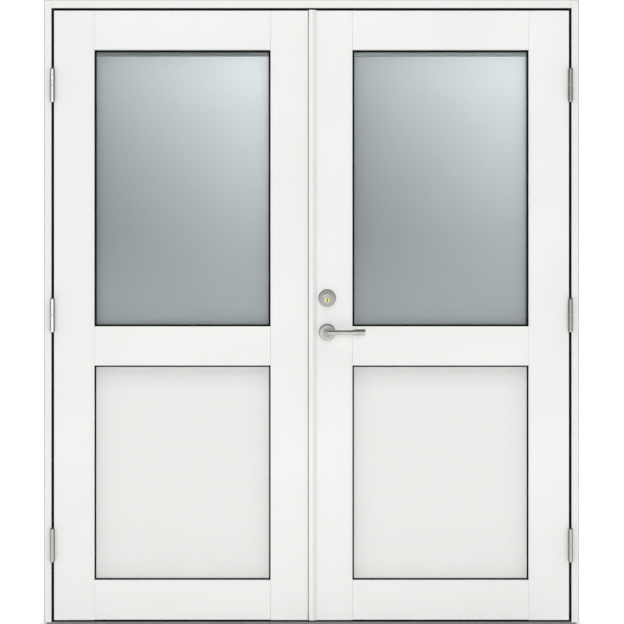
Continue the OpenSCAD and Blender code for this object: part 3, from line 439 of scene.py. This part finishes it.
def makeSkyPaintedGlass(name, node):
    # Float glass of the sealed unit, cool and neutral, with a painted reflection of a pale sky:
    # a slow fade across the pane, palest at one upper corner.
    material, tree, place = blank(name)
    low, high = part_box(node)
    parts = add(tree, "ShaderNodeSeparateXYZ", links={"Vector": place})
    across = add(tree, "ShaderNodeMapRange", {"From Min": low[0], "From Max": high[0]},
                 {"Value": (parts, "X")})
    up = add(tree, "ShaderNodeMapRange", {"From Min": low[2], "From Max": high[2]},
             {"Value": (parts, "Z")})
    skyEdges = []
    for stops in (paneGlass["left"], paneGlass["right"]):
        ramp = add(tree, "ShaderNodeValToRGB", links={"Fac": up})
        ramp.color_ramp.interpolation = "B_SPLINE"
        points = ramp.color_ramp.elements
        while len(points) < len(stops):
            points.new(0.5)
        for point, (at, code) in zip(points, stops):
            point.position, point.color = at, srgb(code)
        skyEdges.append(ramp)
    # the painted sky reflection, mixed across the pane from its left to its right edge
    coat = add(tree, "ShaderNodeMix", {"data_type": "RGBA"}, {0: across, 6: skyEdges[0],
                                                              7: skyEdges[1]})
    waves = add(tree, "ShaderNodeTexNoise", {"Scale": 1 / paneGlass["wave"], "Detail": 1.0},
                {"Vector": place})
    surface = add(tree, "ShaderNodeBump", {"Distance": paneGlass["deep"], "Strength": 0.3},
                  {"Height": waves})
    shader = add(tree, "ShaderNodeBsdfPrincipled", {"Roughness": paneGlass["roughness"]},
                 {"Base Color": (coat, 2), "Normal": surface})
    add(tree, "ShaderNodeOutputMaterial", links={"Surface": shader})
    return material


def makeClearGlass(name):
    # Clear float glass: nearly all of the light goes through, with a faint green-grey body and
    # a hard gloss whose slow waves are the sheet's own.
    material, tree, place = blank(name)
    waves = add(tree, "ShaderNodeTexNoise", {"Scale": 1 / paneGlass["wave"]},
                {"Vector": place})
    colour = add(tree, "ShaderNodeMix", {
        "data_type": "RGBA", 6: srgb(paneGlass["body"][0]), 7: srgb(paneGlass["body"][1]),
    }, {0: waves})
    surface = add(tree, "ShaderNodeBump", {"Distance": paneGlass["deep"], "Strength": 0.3},
                  {"Height": waves})
    shader = add(tree, "ShaderNodeBsdfPrincipled", {
        "Roughness": paneGlass["roughness"], "Alpha": paneGlass["clear"],
    }, {"Base Color": (colour, 2), "Normal": surface})
    add(tree, "ShaderNodeOutputMaterial", links={"Surface": shader})
    return material


floorPaint = {"white": "#FFFFFF", "roughness": 0.9}


def makeFloor(name):
    # Studio floor: a plain matt white that melts into the surround.
    material, tree, _ = blank(name)
    shader = add(tree, "ShaderNodeBsdfPrincipled", {"Base Color": srgb(floorPaint["white"]),
                                                    "Roughness": floorPaint["roughness"]})
    add(tree, "ShaderNodeOutputMaterial", links={"Surface": shader})
    return material


print("stage: finishes")
uprightPaint = makeTimberPaint("satin alkyd paint on upright timber", 2)
levelPaint = makeTimberPaint("satin alkyd paint on level timber", 0)
jambPaint = makeTimberPaint("satin alkyd paint on the jambs", 2, "frame", "frame", "frameEdgeShade")
headPaint = makeTimberPaint("satin alkyd paint on the head", 0, "frame", "frame", "frameEdgeShade")
stripPaint = makeTimberPaint("satin alkyd paint on the cover strip", 2, edge="stripEdge")
blackEpdm = makeEpdm("black EPDM", "#060606", "#121211")
greyEpdm = makeEpdm("light grey EPDM", "#CFCFCD", "#C2C2C0")
knuckleSteel = makeHingeSteel("satin stainless steel turned upright")
handleSteel = makeTurnedSteel("satin stainless steel turned level")
zincSteel = makeZincSteel("bright zinc on steel")
plugBrass = makeBrass("turned brass")
sillAluminium = makeAnodised("anodised sill aluminium", "#8F8F8E", "#858584", 0.42)
spacerAluminium = makeAnodised("mill finish spacer aluminium", "#A3A8AB", "#979C9F", 0.4)
sillComposite = makeComposite("grey glass-fibre composite")
clearGlass = makeClearGlass("clear float glass")

slots = {
    "sill_composite": sillComposite, "sill_aluminium": sillAluminium, "black_epdm": blackEpdm,
    "grey_seal": greyEpdm, "spacer_aluminium": spacerAluminium, "satin_steel": handleSteel,
    "zinc_steel": zincSteel, "brass": plugBrass, "painted_timber": uprightPaint,
}
levelNodes = ("top_rail", "middle_rail", "bottom_rail")


def dress(node, material):
    shape = frame["nodes"][node]
    shape.data.materials.clear()
    shape.data.materials.append(material)


for row in frame["record"]["subparts"]:
    node, slotName = row["node"], row["material_slot"]
    if slotName == "painted_panel":
        dress(node, makePanelPaint(f"satin paint on the {node.split('_')[0]} board", node))
    elif slotName == "tinted_glass":
        dress(node, clearGlass if "outer" in node else
              makeSkyPaintedGlass(f"float glass with painted sky of the {node.split('_')[0]} leaf", node))
    elif node == "frame_head" or node.endswith("_jamb"):
        dress(node, headPaint if node == "frame_head" else jambPaint)
    elif node.endswith(levelNodes):
        dress(node, levelPaint)
    elif node == "cover_strip":
        dress(node, stripPaint)
    elif "hinge_halves" in node:
        dress(node, knuckleSteel)
    else:
        dress(node, slots[slotName])


def rounded(line, cut, closed=False, steps=3):
    # Swaps each corner of a line of points for a small arc: the arc is the quadratic curve
    # from cut before the corner, pulled by the corner, to cut after it. No cut takes more
    # than 0.45 of a side.
    line = np.asarray(line, float)
    before, after = np.roll(line, 1, 0), np.roll(line, -1, 0)
    lengthIn = np.linalg.norm(line - before, axis=1)
    lengthOut = np.linalg.norm(after - line, axis=1)
    start = line + (before - line) * (np.minimum(cut, 0.45 * lengthIn) / lengthIn)[:, None]
    end = line + (after - line) * (np.minimum(cut, 0.45 * lengthOut) / lengthOut)[:, None]
    t = np.linspace(0, 1, steps + 1)[None, :, None]
    arcs = (1 - t) ** 2 * start[:, None] + 2 * t * (1 - t) * line[:, None] + t ** 2 * end[:, None]
    if closed:
        return arcs.reshape(-1, 2)
    return np.vstack([line[:1], arcs[1:-1].reshape(-1, 2), line[-1:]])


def skin(grid, loop=False, capped=True, columns=None):
    # Faces over a grid of points whose columns close on themselves. Rows loop too, or their
    # first and last are capped; columns keeps only some columns' faces.
    rows, count = grid.shape[:2]
    i = np.arange(rows if loop else rows - 1)[:, None]
    j = np.arange(count)[None, :] if columns is None else np.asarray(columns)[None, :]
    near, far = i * count, (i + 1) % rows * count
    quads = np.stack([near + j, near + (j + 1) % count, far + (j + 1) % count, far + j], -1)
    faces = quads.reshape(-1, 4).tolist()
    if capped and not loop:
        faces += [list(range(count))[::-1], list(range((rows - 1) * count, rows * count))]
    return grid.reshape(-1, 3), faces


def makePiece(name, skins, material, body, replaced=(), soft=40):
    # One object from several skins: doubles merged, faces outward, smooth but for edges
    # sharper than soft degrees.
    faces, count = [], 0
    for points, corners in skins:
        faces += [[k + count for k in face] for face in corners]
        count += len(points)
    shape = bpy.data.meshes.new(name)
    shape.from_pydata(np.vstack([points for points, corners in skins]), [], faces)
    work = bmesh.new()
    work.from_mesh(shape)
    bmesh.ops.remove_doubles(work, verts=work.verts, dist=1e-6)
    bmesh.ops.recalc_face_normals(work, faces=work.faces)
    work.to_mesh(shape)
    work.free()
    shape.polygons.foreach_set("use_smooth", np.ones(len(shape.polygons), bool))
    shape.set_sharp_from_angle(angle=math.radians(soft))
    shape.materials.append(material)
    piece = bpy.data.objects.new(name, shape)
    bpy.context.collection.objects.link(piece)
    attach(piece, body)
    if replaced:
        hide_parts(*replaced)
    return piece


def circle(radius, steps=64, centre=(0, 0)):
    # evenly spaced points on a circle
    turn = np.linspace(0, 2 * math.pi, steps, endpoint=False)
    return np.stack([centre[0] + radius * np.cos(turn), centre[1] + radius * np.sin(turn)], -1)


def stadium(width, height, steps=64, centre=(0, 0)):
    # an upright slot: a circle of half the width whose halves are pulled apart, by all of the
    # way where the sine passes an eighth and by a share of it nearer the middle
    turn = np.linspace(0, 2 * math.pi, steps, endpoint=False)
    pull = (height - width) / 2 * np.clip(np.sin(turn) * 8, -1, 1)
    return np.stack([centre[0] + width / 2 * np.cos(turn),
                     centre[1] + width / 2 * np.sin(turn) + pull], -1)


def stacked(loops, depths, face, way):
    # Loops in X and Z set one behind another: row k lies depths[k] out from the face,
    # to the outside where way is -1 and to the inside where it is 1.
    loops, depths = np.asarray(loops, float), np.asarray(depths, float)
    y = np.broadcast_to((face + way * depths * mm)[:, None], loops.shape[:2])
    return np.stack([loops[..., 0] * mm, y, loops[..., 1] * mm], -1)


def turnedOut(profile, centre, face, way, steps=72):
    # a profile of radius and depth, carried round an axis that stands out from a face
    profile = np.asarray(profile, float)
    unit = circle(1, steps)
    loops = profile[:, None, :1] * unit + np.asarray(centre, float)
    return stacked(loops, profile[:, 1], face, way)


def turnedUp(profile, centre, steps=48):
    # a profile of radius and height in mm, carried round an upright axis
    profile = np.asarray(profile, float)
    flat = profile[:, None, :1] * circle(1, steps) + np.asarray(centre[:2], float)
    z = np.broadcast_to((profile[:, 1] + centre[2])[:, None], flat.shape[:2])
    return np.concatenate([flat, z[..., None]], -1)


door = {"front": -52.5, "back": 9.5, "lockX": 52.5, "leverZ": 978.4, "ringZ": 1092.4,
        "plugZ": 1085.9}                                     # mm, as the frame has them
outFace, inFace = door["front"] * mm, door["back"] * mm

print("stage: lever handles")
lever = {
    "out": 50, "length": 127,    # from the door's face, and from the axis to the end
    "neck": 9.0, "waist": 8.7, "grip": 7.8, "end": 10.3,     # radii from the rose outwards
    "thickFrom": 86,             # where the grip swells to its end
    "bend": 13,                  # radius of the elbow's middle line
    "edge": (0.9, 0.27),         # softened rim of the square end, and its middle point
    "start": 1.0,                # how far out from the face the neck starts, inside the rose
}


def leverGrid(way, steps=56):
    # A circle carried along a bent path: straight out from the rose, round a quarter bend and
    # along the grip, with its radius read from a table of distance along the path.
    bend, neck, grip, end = (lever[part] for part in ("bend", "neck", "grip", "end"))
    soft, rim = lever["edge"]
    straight, quarter = lever["out"] - bend, math.pi / 2 * bend
    elbow = straight + quarter
    thick, reach = lever["thickFrom"] - bend, lever["length"] - bend
    table = [(0, neck), (straight * 0.7, neck), (straight, lever["waist"]),
             (straight + quarter * 0.5, grip + 0.2), (elbow, grip)]
    table += [(elbow + further, radius) for further, radius in (
        (20, grip), (thick - 6, grip), (thick - 3, grip + 0.25), (thick + 1, end - 1.0),
        (thick + 5, end - 0.12), (thick + 8, end), (reach - soft, end),
        (reach - rim, end - rim), (reach, end - soft))]
    along, radii = np.array(table).T
    path = np.unique(np.concatenate([along, np.linspace(straight, elbow, 14),
                                     np.linspace(0, along[-1], 24)]))
    radius = np.interp(path, along, radii)
    turn = np.clip((path - straight) / bend, 0, math.pi / 2)
    past = np.maximum(path - straight - quarter, 0)
    centreX = bend * (1 - np.cos(turn)) + past
    centreOut = np.minimum(path, straight) + bend * np.sin(turn)
    about = np.linspace(0, 2 * math.pi, steps, endpoint=False)
    across, up = radius[:, None] * np.cos(about), radius[:, None] * np.sin(about)
    x = centreX[:, None] + across * np.cos(turn)[:, None]
    out = centreOut[:, None] - across * np.sin(turn)[:, None]
    out = out + lever["start"] * (path[:, None] == 0)
    face = outFace if way < 0 else inFace
    return np.stack([(door["lockX"] + x) * mm, face + way * out * mm,
                     (door["leverZ"] + up) * mm], -1)


for way, node in ((-1, "outside_lever"), (1, "inside_lever")):
    makePiece(f"{node}_handle", [skin(leverGrid(way))], handleSteel, "lever",
              [node])

print("stage: roses, ring and cylinder")
rose = {"radius": 27.8, "bore": 9.06, "thick": 8.0, "slope": 4.2}
ring = {"radius": 29.0, "bore": 19.7, "thick": 7.0, "slope": 3.4}
turnRose = {"radius": 25.0, "bore": 7.06, "thick": 8.0, "slope": 4.0}
dish = {
    "edge": 3.4,                 # height of the sloping margin over the upright edge
    "shoulder": (0.9, 1.5),      # a point of that margin, in from the edge and down
    "drop": (2, 0.15),           # how the flat face runs into it, in and down
    "soft": 0.7,                 # size of the softened corners
}
cylinder = {
    "radius": 19.6, "out": 11.0, "deep": 23.5,   # from the door's face to its front and back
    "rim": 5.2,                  # width of the flat ring round the hollow
    "hollow": 0.7, "lip": 0.5,   # depth of the hollow, and the bevel round the plug's bore
}
plug = {"radius": 8.6, "bore": 8.66, "out": 10.0, "slot": (2.0, 10.0), "deep": 16.0,
        "bevel": 0.4}


def plateGrid(form, centre, face, way):
    # a dished cover plate: flat face, sloping margin, short upright edge, soft corners
    bore, radius, thick = form["bore"], form["radius"], form["thick"]
    shoulder, flat = dish["shoulder"], radius - form["slope"]
    section = [[bore, 0], [radius, 0], [radius, thick - dish["edge"]],
               [radius - shoulder[0], thick - shoulder[1]], [flat, thick - dish["drop"][1]],
               [flat - dish["drop"][0], thick], [bore, thick]]
    return skin(turnedOut(rounded(section, dish["soft"], True), centre, face, way), loop=True)


leverCentre, ringCentre = (door["lockX"], door["leverZ"]), (door["lockX"], door["ringZ"])
plugCentre = (door["lockX"], door["plugZ"])
makePiece("lever_roses", [plateGrid(rose, leverCentre, outFace, -1),
                          plateGrid(rose, leverCentre, inFace, 1)],
          handleSteel, "right_leaf", ["rosettes"])
makePiece("cylinder_rose", [plateGrid(ring, ringCentre, outFace, -1)],
          handleSteel, "right_leaf", ["cylinder_ring"])
makePiece("thumbturn_rose_plate", [plateGrid(turnRose, plugCentre, inFace, 1)],
          handleSteel, "right_leaf", ["thumbturn_rose"])

# The cylinder's body: circles out to the rim and into the hollow, then circles that slide
# over to the plug's off-centre bore and back down it.
radius, out, back = cylinder["radius"], cylinder["out"], -cylinder["deep"]
inside, bore = radius - cylinder["rim"], plug["bore"]
rings = [(radius, back, ringCentre), (radius, out - 1.8, ringCentre),
         (radius - 0.35, out - 0.7, ringCentre), (radius - 1.4, out, ringCentre),
         (inside, out, ringCentre),
         (inside - cylinder["hollow"], out - cylinder["hollow"], ringCentre),
         (bore + cylinder["lip"], out - 0.75, plugCentre), (bore, out - 1.3, plugCentre),
         (bore, back, plugCentre)]
grid = stacked([circle(size, 72, centre) for size, depth, centre in rings],
               [depth for size, depth, centre in rings], outFace, -1)
makePiece("cylinder_body", [skin(grid, loop=True)], handleSteel, "right_leaf",
          ["lock_cylinder"])

# The plug: a turned barrel whose face runs in to an upright keyway and down it.
radius, out, bevel = plug["radius"], plug["out"], plug["bevel"]
width, height = plug["slot"]
mouth = stadium(width + 2 * bevel, height + 2 * bevel, 64, plugCentre)
keyway = stadium(width, height, 64, plugCentre)
loops = [circle(radius, 64, plugCentre), circle(radius, 64, plugCentre),
         circle(radius - 0.5, 64, plugCentre), mouth, keyway, keyway]
depths = [back, out - 0.6, out, out, out - bevel, out - plug["deep"]]
makePiece("key_plug_face", [skin(stacked(loops, depths, outFace, -1))],
          plugBrass, "plug", ["key_plug"])

print("stage: thumbturn")
knob = {
    "stem": 7.0, "from": -6.0,   # the stem's radius and its start from the door's inner face
    "width": 9.0, "height": 31.0, "start": 11.0, "out": 26.0,
    "soft": 1.8,                 # how far the grip's front edge is rounded in
}
long = knob["out"] - knob["start"]
# how far in from its outline, and how far from its start, each loop of the grip lies
rings = [(1.2, 0), (0.3, 0.3), (0, 1.4), (0, long - 2.2), (0.25, long - 1.1),
         (0.9, long - 0.35), (knob["soft"], long)]
grip = stacked([stadium(knob["width"] - 2 * inset, knob["height"] - 2 * inset, 64, plugCentre)
                for inset, depth in rings],
               [knob["start"] + depth for inset, depth in rings], inFace, 1)
stem = turnedOut([[knob["stem"], knob["from"]], [knob["stem"], knob["start"] + 1]],
                 plugCentre, inFace, 1)
makePiece("thumbturn_knob", [skin(grip), skin(stem)], handleSteel, "turn",
          ["thumbturn"])

print("stage: hinges")
hinge = {
    "x": 865.75, "y": -61.5, "z": (266.5, 1035.5, 1804.5),   # the axis and the mid heights
    "half": 58.5, "radius": 7.6, "tip": 6,       # a knuckle's length, radius and rounded tip
    "gap": (0.75, 0.95),         # from mid height to the frame's and the leaf's knuckle
    "bore": (4.0, 4.06), "boreTo": (46.25, 43.45),
    "pole": 0.3,                 # radius left flat where a profile meets the axis
    "flap": (0.75, 3.25),        # the flap's faces from the axis
    "flapY": (8.5, 43.5), "flapZ": (-55, -19, 19, 55), "screwZ": (-38, 0, 38),
    "neck": (5.6, 53.5),         # where it starts from the axis, and ends from mid height
}
screw = {
    "head": 4.4, "shank": 2.2, "thick": 2.5, "length": 20, "air": 0.15, "point": 3,
    "cross": (2.5, 0.62), "deep": 1.3,           # half the recess's arms, and its depth
}


def sidewards(grid, side):
    # from a grid drawn in mm about the origin to the left or right side of the door
    return grid * np.array([side, 1, 1]) * mm


def square(y0, y1, z0, z1, perSide=12):
    # a rectangle's outline in Y and Z with evenly spaced points, starting at its low corner
    t = np.linspace(0, 1, perSide, endpoint=False)
    zero, one = np.zeros(perSide), np.ones(perSide)
    u = np.concatenate([t, one, 1 - t, zero])
    v = np.concatenate([zero, t, one, 1 - t])
    return np.stack([y0 + (y1 - y0) * u, z0 + (z1 - z0) * v], -1)


def hole(radius, y, z, perSide=12):
    # a circle whose points answer those of square
    turn = np.linspace(0, 2 * math.pi, 4 * perSide, endpoint=False) - 0.75 * math.pi
    return np.stack([y + radius * np.cos(turn), z + radius * np.sin(turn)], -1)


def atX(loops, xs):
    # loops in Y and Z, each at its own X
    loops = np.asarray(loops, float)
    x = np.broadcast_to(np.asarray(xs, float)[:, None], loops.shape[:2])
    return np.concatenate([x[..., None], loops], -1)


def flapSkins(x0, x1, z, side):
    # A flap in three cells, each a rectangle that runs in to a countersunk hole and out again
    # on the far face. x0 is the face with the screw heads; only the outer edges get walls.
    skins, levels = [], hinge["flapZ"]
    y0, y1 = (hinge["y"] + d for d in hinge["flapY"])
    for k, screwZ in enumerate(hinge["screwZ"]):
        edge = square(y0, y1, z + levels[k], z + levels[k + 1])
        centre = ((y0 + y1) / 2, z + screwZ)
        wide = hole(screw["head"] + screw["air"], *centre)
        tight = hole(screw["shank"] + screw["air"], *centre)
        skins.append(skin(sidewards(atX([edge, wide, tight, edge], [x0, x0, x1, x1]), side),
                          capped=False))
        # walls on the two upright sides, and on the low and the high end of the whole flap
        walls = list(range(12, 24)) + list(range(36, 48))
        walls += list(range(0, 12)) if k == 0 else []
        walls += list(range(24, 36)) if k == 2 else []
        skins.append(skin(sidewards(atX([edge, edge], [x0, x1]), side), capped=False,
                          columns=walls))
    return skins


def hingeSkins(half, z, side):
    # half 0 is the frame's lower half, 1 the leaf's upper one. The knuckle is a profile turned
    # round the upright axis: up the bore, over the end face, along the barrel, round the tip.
    low, radius, top, tip = hinge["gap"][half], hinge["radius"], hinge["half"], hinge["tip"]
    way, pole, bore = 1 if half else -1, hinge["pole"], hinge["bore"][half]
    barrel = [(pole, hinge["boreTo"][half]), (bore, hinge["boreTo"][half]), (bore, low),
              (radius - 0.5, low), (radius - 0.14, low + 0.14), (radius, low + 0.5),
              (radius, low + 0.9), (radius, top - tip - 0.5), (radius, top - tip)]
    turn = np.linspace(0, 1, 9)[1:] * math.pi / 2
    cap = np.stack([pole + (radius - pole) * np.cos(turn) ** 0.75,
                    top - tip + tip * np.sin(turn)], -1)
    profile = np.vstack([barrel, cap]) * (1, way)
    inner, outer = (hinge["x"] + (-x if half else x) for x in hinge["flap"])
    skins = [skin(sidewards(turnedUp(profile, (hinge["x"], hinge["y"], z)), side))]
    # the neck runs from inside the barrel's wall to the flap, and is a little thinner than it
    ends = sorted([z + way * (low + 0.4), z + way * hinge["neck"][1]])
    neck = square(hinge["y"] + hinge["neck"][0], hinge["y"] + hinge["flapY"][0] + 0.01, *ends,
                  perSide=1)
    thinner = 0.02 * (outer - inner)
    skins.append(skin(sidewards(atX([neck, neck], [inner + thinner, outer - thinner]), side)))
    return skins + flapSkins(inner, outer, z, side)


def screwSkins(x, way, z, side):
    # A cross-recess countersunk screw along X, as loops one behind another: the recess floor,
    # its rim, the head's edge, the cone, the shank and the point.
    turn = np.linspace(0, 2 * math.pi, 48, endpoint=False) + math.pi / 48
    ways = np.stack([np.cos(turn), np.sin(turn)], -1)
    long, short = abs(ways).max(axis=1), abs(ways).min(axis=1)
    cross = np.minimum(screw["cross"][0] / long, screw["cross"][1] / short)
    centre = (hinge["y"] + sum(hinge["flapY"]) / 2, z)
    radii = [0.5 * cross, 0.94 * cross, cross, screw["head"] - 0.25, screw["head"],
             screw["shank"], screw["shank"], 0.3]
    depth = np.array([screw["deep"], 0.7 * screw["deep"], 0, 0, 0.12, screw["thick"],
                      screw["length"] - screw["point"], screw["length"]])
    loops = [np.broadcast_to(r, turn.shape)[:, None] * ways + centre for r in radii]
    return skin(sidewards(atX(loops, x + way * depth), side))


for name, half, sides, body in (("frame", 0, (-1, 1), "frame"), ("left", 1, (-1,), "left_leaf"),
                                ("right", 1, (1,), "right_leaf")):
    places = [(side, z) for side in sides for z in hinge["z"]]
    skins = [one for side, z in places for one in hingeSkins(half, z, side)]
    makePiece(f"{name}_hinge_knuckles", skins, knuckleSteel, body,
              [f"{name}_hinge_halves"], soft=35)
    way = -1 if half else 1
    skins = [screwSkins(hinge["x"] + way * hinge["flap"][0], way, z + screwZ, side)
             for side, z in places for screwZ in hinge["screwZ"]]
    makePiece(f"{name}_flap_screws", skins, zincSteel, body,
              [f"{name}_hinge_screws"])

print("stage: gaskets")
gasket = {
    "x": (137.0, 727.0), "glass": (998.0, 1923.5), "panel": (148.5, 867.0),  # the openings
    "glassLip": 6.5, "panelLip": 5.2,            # how far each lip shows in its opening
    "hidden": 12.0,                              # how far it reaches in behind the timber
    "outer": (-38.5, -35.5), "inner": (-11.5, -8.5),         # depths of its two faces
    "nose": (1.8, 1.3), "soft": 1.1,             # the nose's slope, in and down, and rounding
}


def framed(section, x0, x1, z0, z1, side):
    # A section carried round a rectangle with mitred corners: at each corner a point that lies
    # d inside the opening's edge moves in by d in both X and Z.
    section = np.asarray(section, float)
    corners = np.array([(x0, z0, 1, 1), (x1, z0, -1, 1), (x1, z1, -1, -1), (x0, z1, 1, -1)])
    inward = section[:, 0]
    x = corners[:, 0:1] + corners[:, 2:3] * inward
    z = corners[:, 1:2] + corners[:, 3:4] * inward
    y = np.broadcast_to(section[:, 1], x.shape)
    return skin(sidewards(np.stack([x, y, z], -1), side), loop=True)


def lip(reach, front, rear, nose):
    # a flat strip with a rounded nose that shows in the opening; nose is its face's side
    face, far = (front, rear) if nose < 0 else (rear, front)
    back, down = gasket["nose"]
    line = [[-gasket["hidden"], face], [reach - back, face], [reach, face - nose * down],
            [reach, far], [-gasket["hidden"], far]]
    return rounded(line, gasket["soft"], True, 4)


for side, name in ((-1, "left"), (1, "right")):
    skins = []
    for opening, reach in (("glass", gasket["glassLip"]), ("panel", gasket["panelLip"])):
        place = (*gasket["x"], *gasket[opening], side)
        skins += [framed(lip(reach, *gasket["outer"], -1), *place),
                  framed(lip(0.0, *gasket["inner"], 1), *place)]
    makePiece(f"{name}_glazing_gaskets", skins, blackEpdm, f"{name}_leaf",
              [f"{name}_gaskets"], soft=50)

print("stage: light and camera")
studio = {
    "sides": 0.42,               # the surround's light at the left and right
    # then its light behind the door, ahead of it and above about 20 degrees, each with the
    # part of the way along an axis at which it starts and is full
    "bands": ((1.02, "Y", 0.35, 0.75), (0.82, "Y", -0.55, -0.9), (0.2, "Z", 0.16, 0.42)),
    "lamps": {
        "soft key": {"at": (2.0, -9.6, 2.4), "to": (0, 0, 1.0), "size": (3.6, 3.6),
                     "power": 196.0},
        "strip light": {"at": (-1.76, -6.7, 2.3), "to": (-0.87, 0, 1.6), "size": (0.36, 2.7),
                        "power": 0.5, "mirrored": True, "beam": 34},
        "low fill": {"at": (0, -1.2, 0.35), "to": (0, 0, 0.1), "size": (2.2, 0.2),
                     "power": 1.4},
        "high fill": {"at": (0, -0.8, 2.6), "to": (0, 0, 2.0), "size": (2.2, 0.2),
                      "power": 1.1},
    },
    "topPower": 2.75, "topAngle": 80,            # sunlight straight down, spread wide
    "floor": 40.0,               # from its middle to its edges
    "cameraAt": (0.0017, -6.75, 1.046),
    "front": -0.0525,            # the door's outside faces
    "seenWidth": 2.088,          # width seen there, in metres
    "clip": 200,
}


def makeSurround(name):
    # A white band round the horizon, brightest behind and dimmer at the sides, under a dark
    # ceiling, so that metal has something to mirror: a function of direction only.
    world = bpy.data.worlds.new(name)
    world.use_nodes = True
    tree = world.node_tree
    tree.nodes.clear()
    place = (add(tree, "ShaderNodeTexCoord"), "Generated")
    ways = add(tree, "ShaderNodeSeparateXYZ", links={"Vector": place})
    level = add(tree, "ShaderNodeValue")
    level.outputs[0].default_value = studio["sides"]
    for strength, axis, start, full in studio["bands"]:
        eased = add(tree, "ShaderNodeMapRange", {"interpolation_type": "SMOOTHSTEP",
                                                 "From Min": start, "From Max": full},
                    {"Value": (ways, axis)})
        level = add(tree, "ShaderNodeMix", {3: strength}, {0: eased, 2: level})
    light = add(tree, "ShaderNodeBackground", {"Color": (1, 1, 1, 1)}, {"Strength": level})
    add(tree, "ShaderNodeOutputWorld", links={"Surface": light})
    bpy.context.scene.world = world


makeSurround("studio surround")


def areaLight(name, form):
    # a soft rectangular lamp turned to its target: mirrored says whether gloss shows it, and
    # beam is its spread in degrees
    lamp = bpy.data.lights.new(name, "AREA")
    lamp.shape = "RECTANGLE"
    lamp.size, lamp.size_y = form["size"]
    lamp.energy = form["power"]
    lamp.spread = math.radians(form.get("beam", 180))
    holder = bpy.data.objects.new(name, lamp)
    bpy.context.collection.objects.link(holder)
    aim = np.array(form["to"]) - np.array(form["at"])
    holder.location = form["at"]
    holder.rotation_euler = (math.atan2(math.hypot(aim[0], aim[1]), -aim[2]), 0,
                             math.atan2(-aim[0], aim[1]))
    holder.visible_camera = False
    holder.visible_glossy = form.get("mirrored", False)


for name, form in studio["lamps"].items():
    areaLight(name, form)
topLight = bpy.data.lights.new("top light", "SUN")
topLight.energy = studio["topPower"]
topLight.angle = math.radians(studio["topAngle"])
topHolder = bpy.data.objects.new("top light", topLight)
bpy.context.collection.objects.link(topHolder)
topHolder.location = (0, 0, 6)
topHolder.visible_glossy = False

edge = studio["floor"]
floorMesh = bpy.data.meshes.new("studio floor")
floorMesh.from_pydata([(-edge, -edge, 0), (edge, -edge, 0), (edge, edge, 0), (-edge, edge, 0)],
                      [], [(0, 1, 2, 3)])
floor = bpy.data.objects.new("studio_floor", floorMesh)
bpy.context.collection.objects.link(floor)
floorMesh.materials.append(makeFloor("pale studio floor"))

camera = bpy.data.objects.new("camera", bpy.data.cameras.new("camera"))
bpy.context.collection.objects.link(camera)
camera.location = studio["cameraAt"]
camera.rotation_euler = (math.pi / 2, 0, 0)
camera.data.angle = 2 * math.atan(
    studio["seenWidth"] / 2 / (studio["front"] - studio["cameraAt"][1]))
camera.data.clip_end = studio["clip"]
bpy.context.scene.camera = camera
bpy.context.scene.view_settings.view_transform = "Standard"
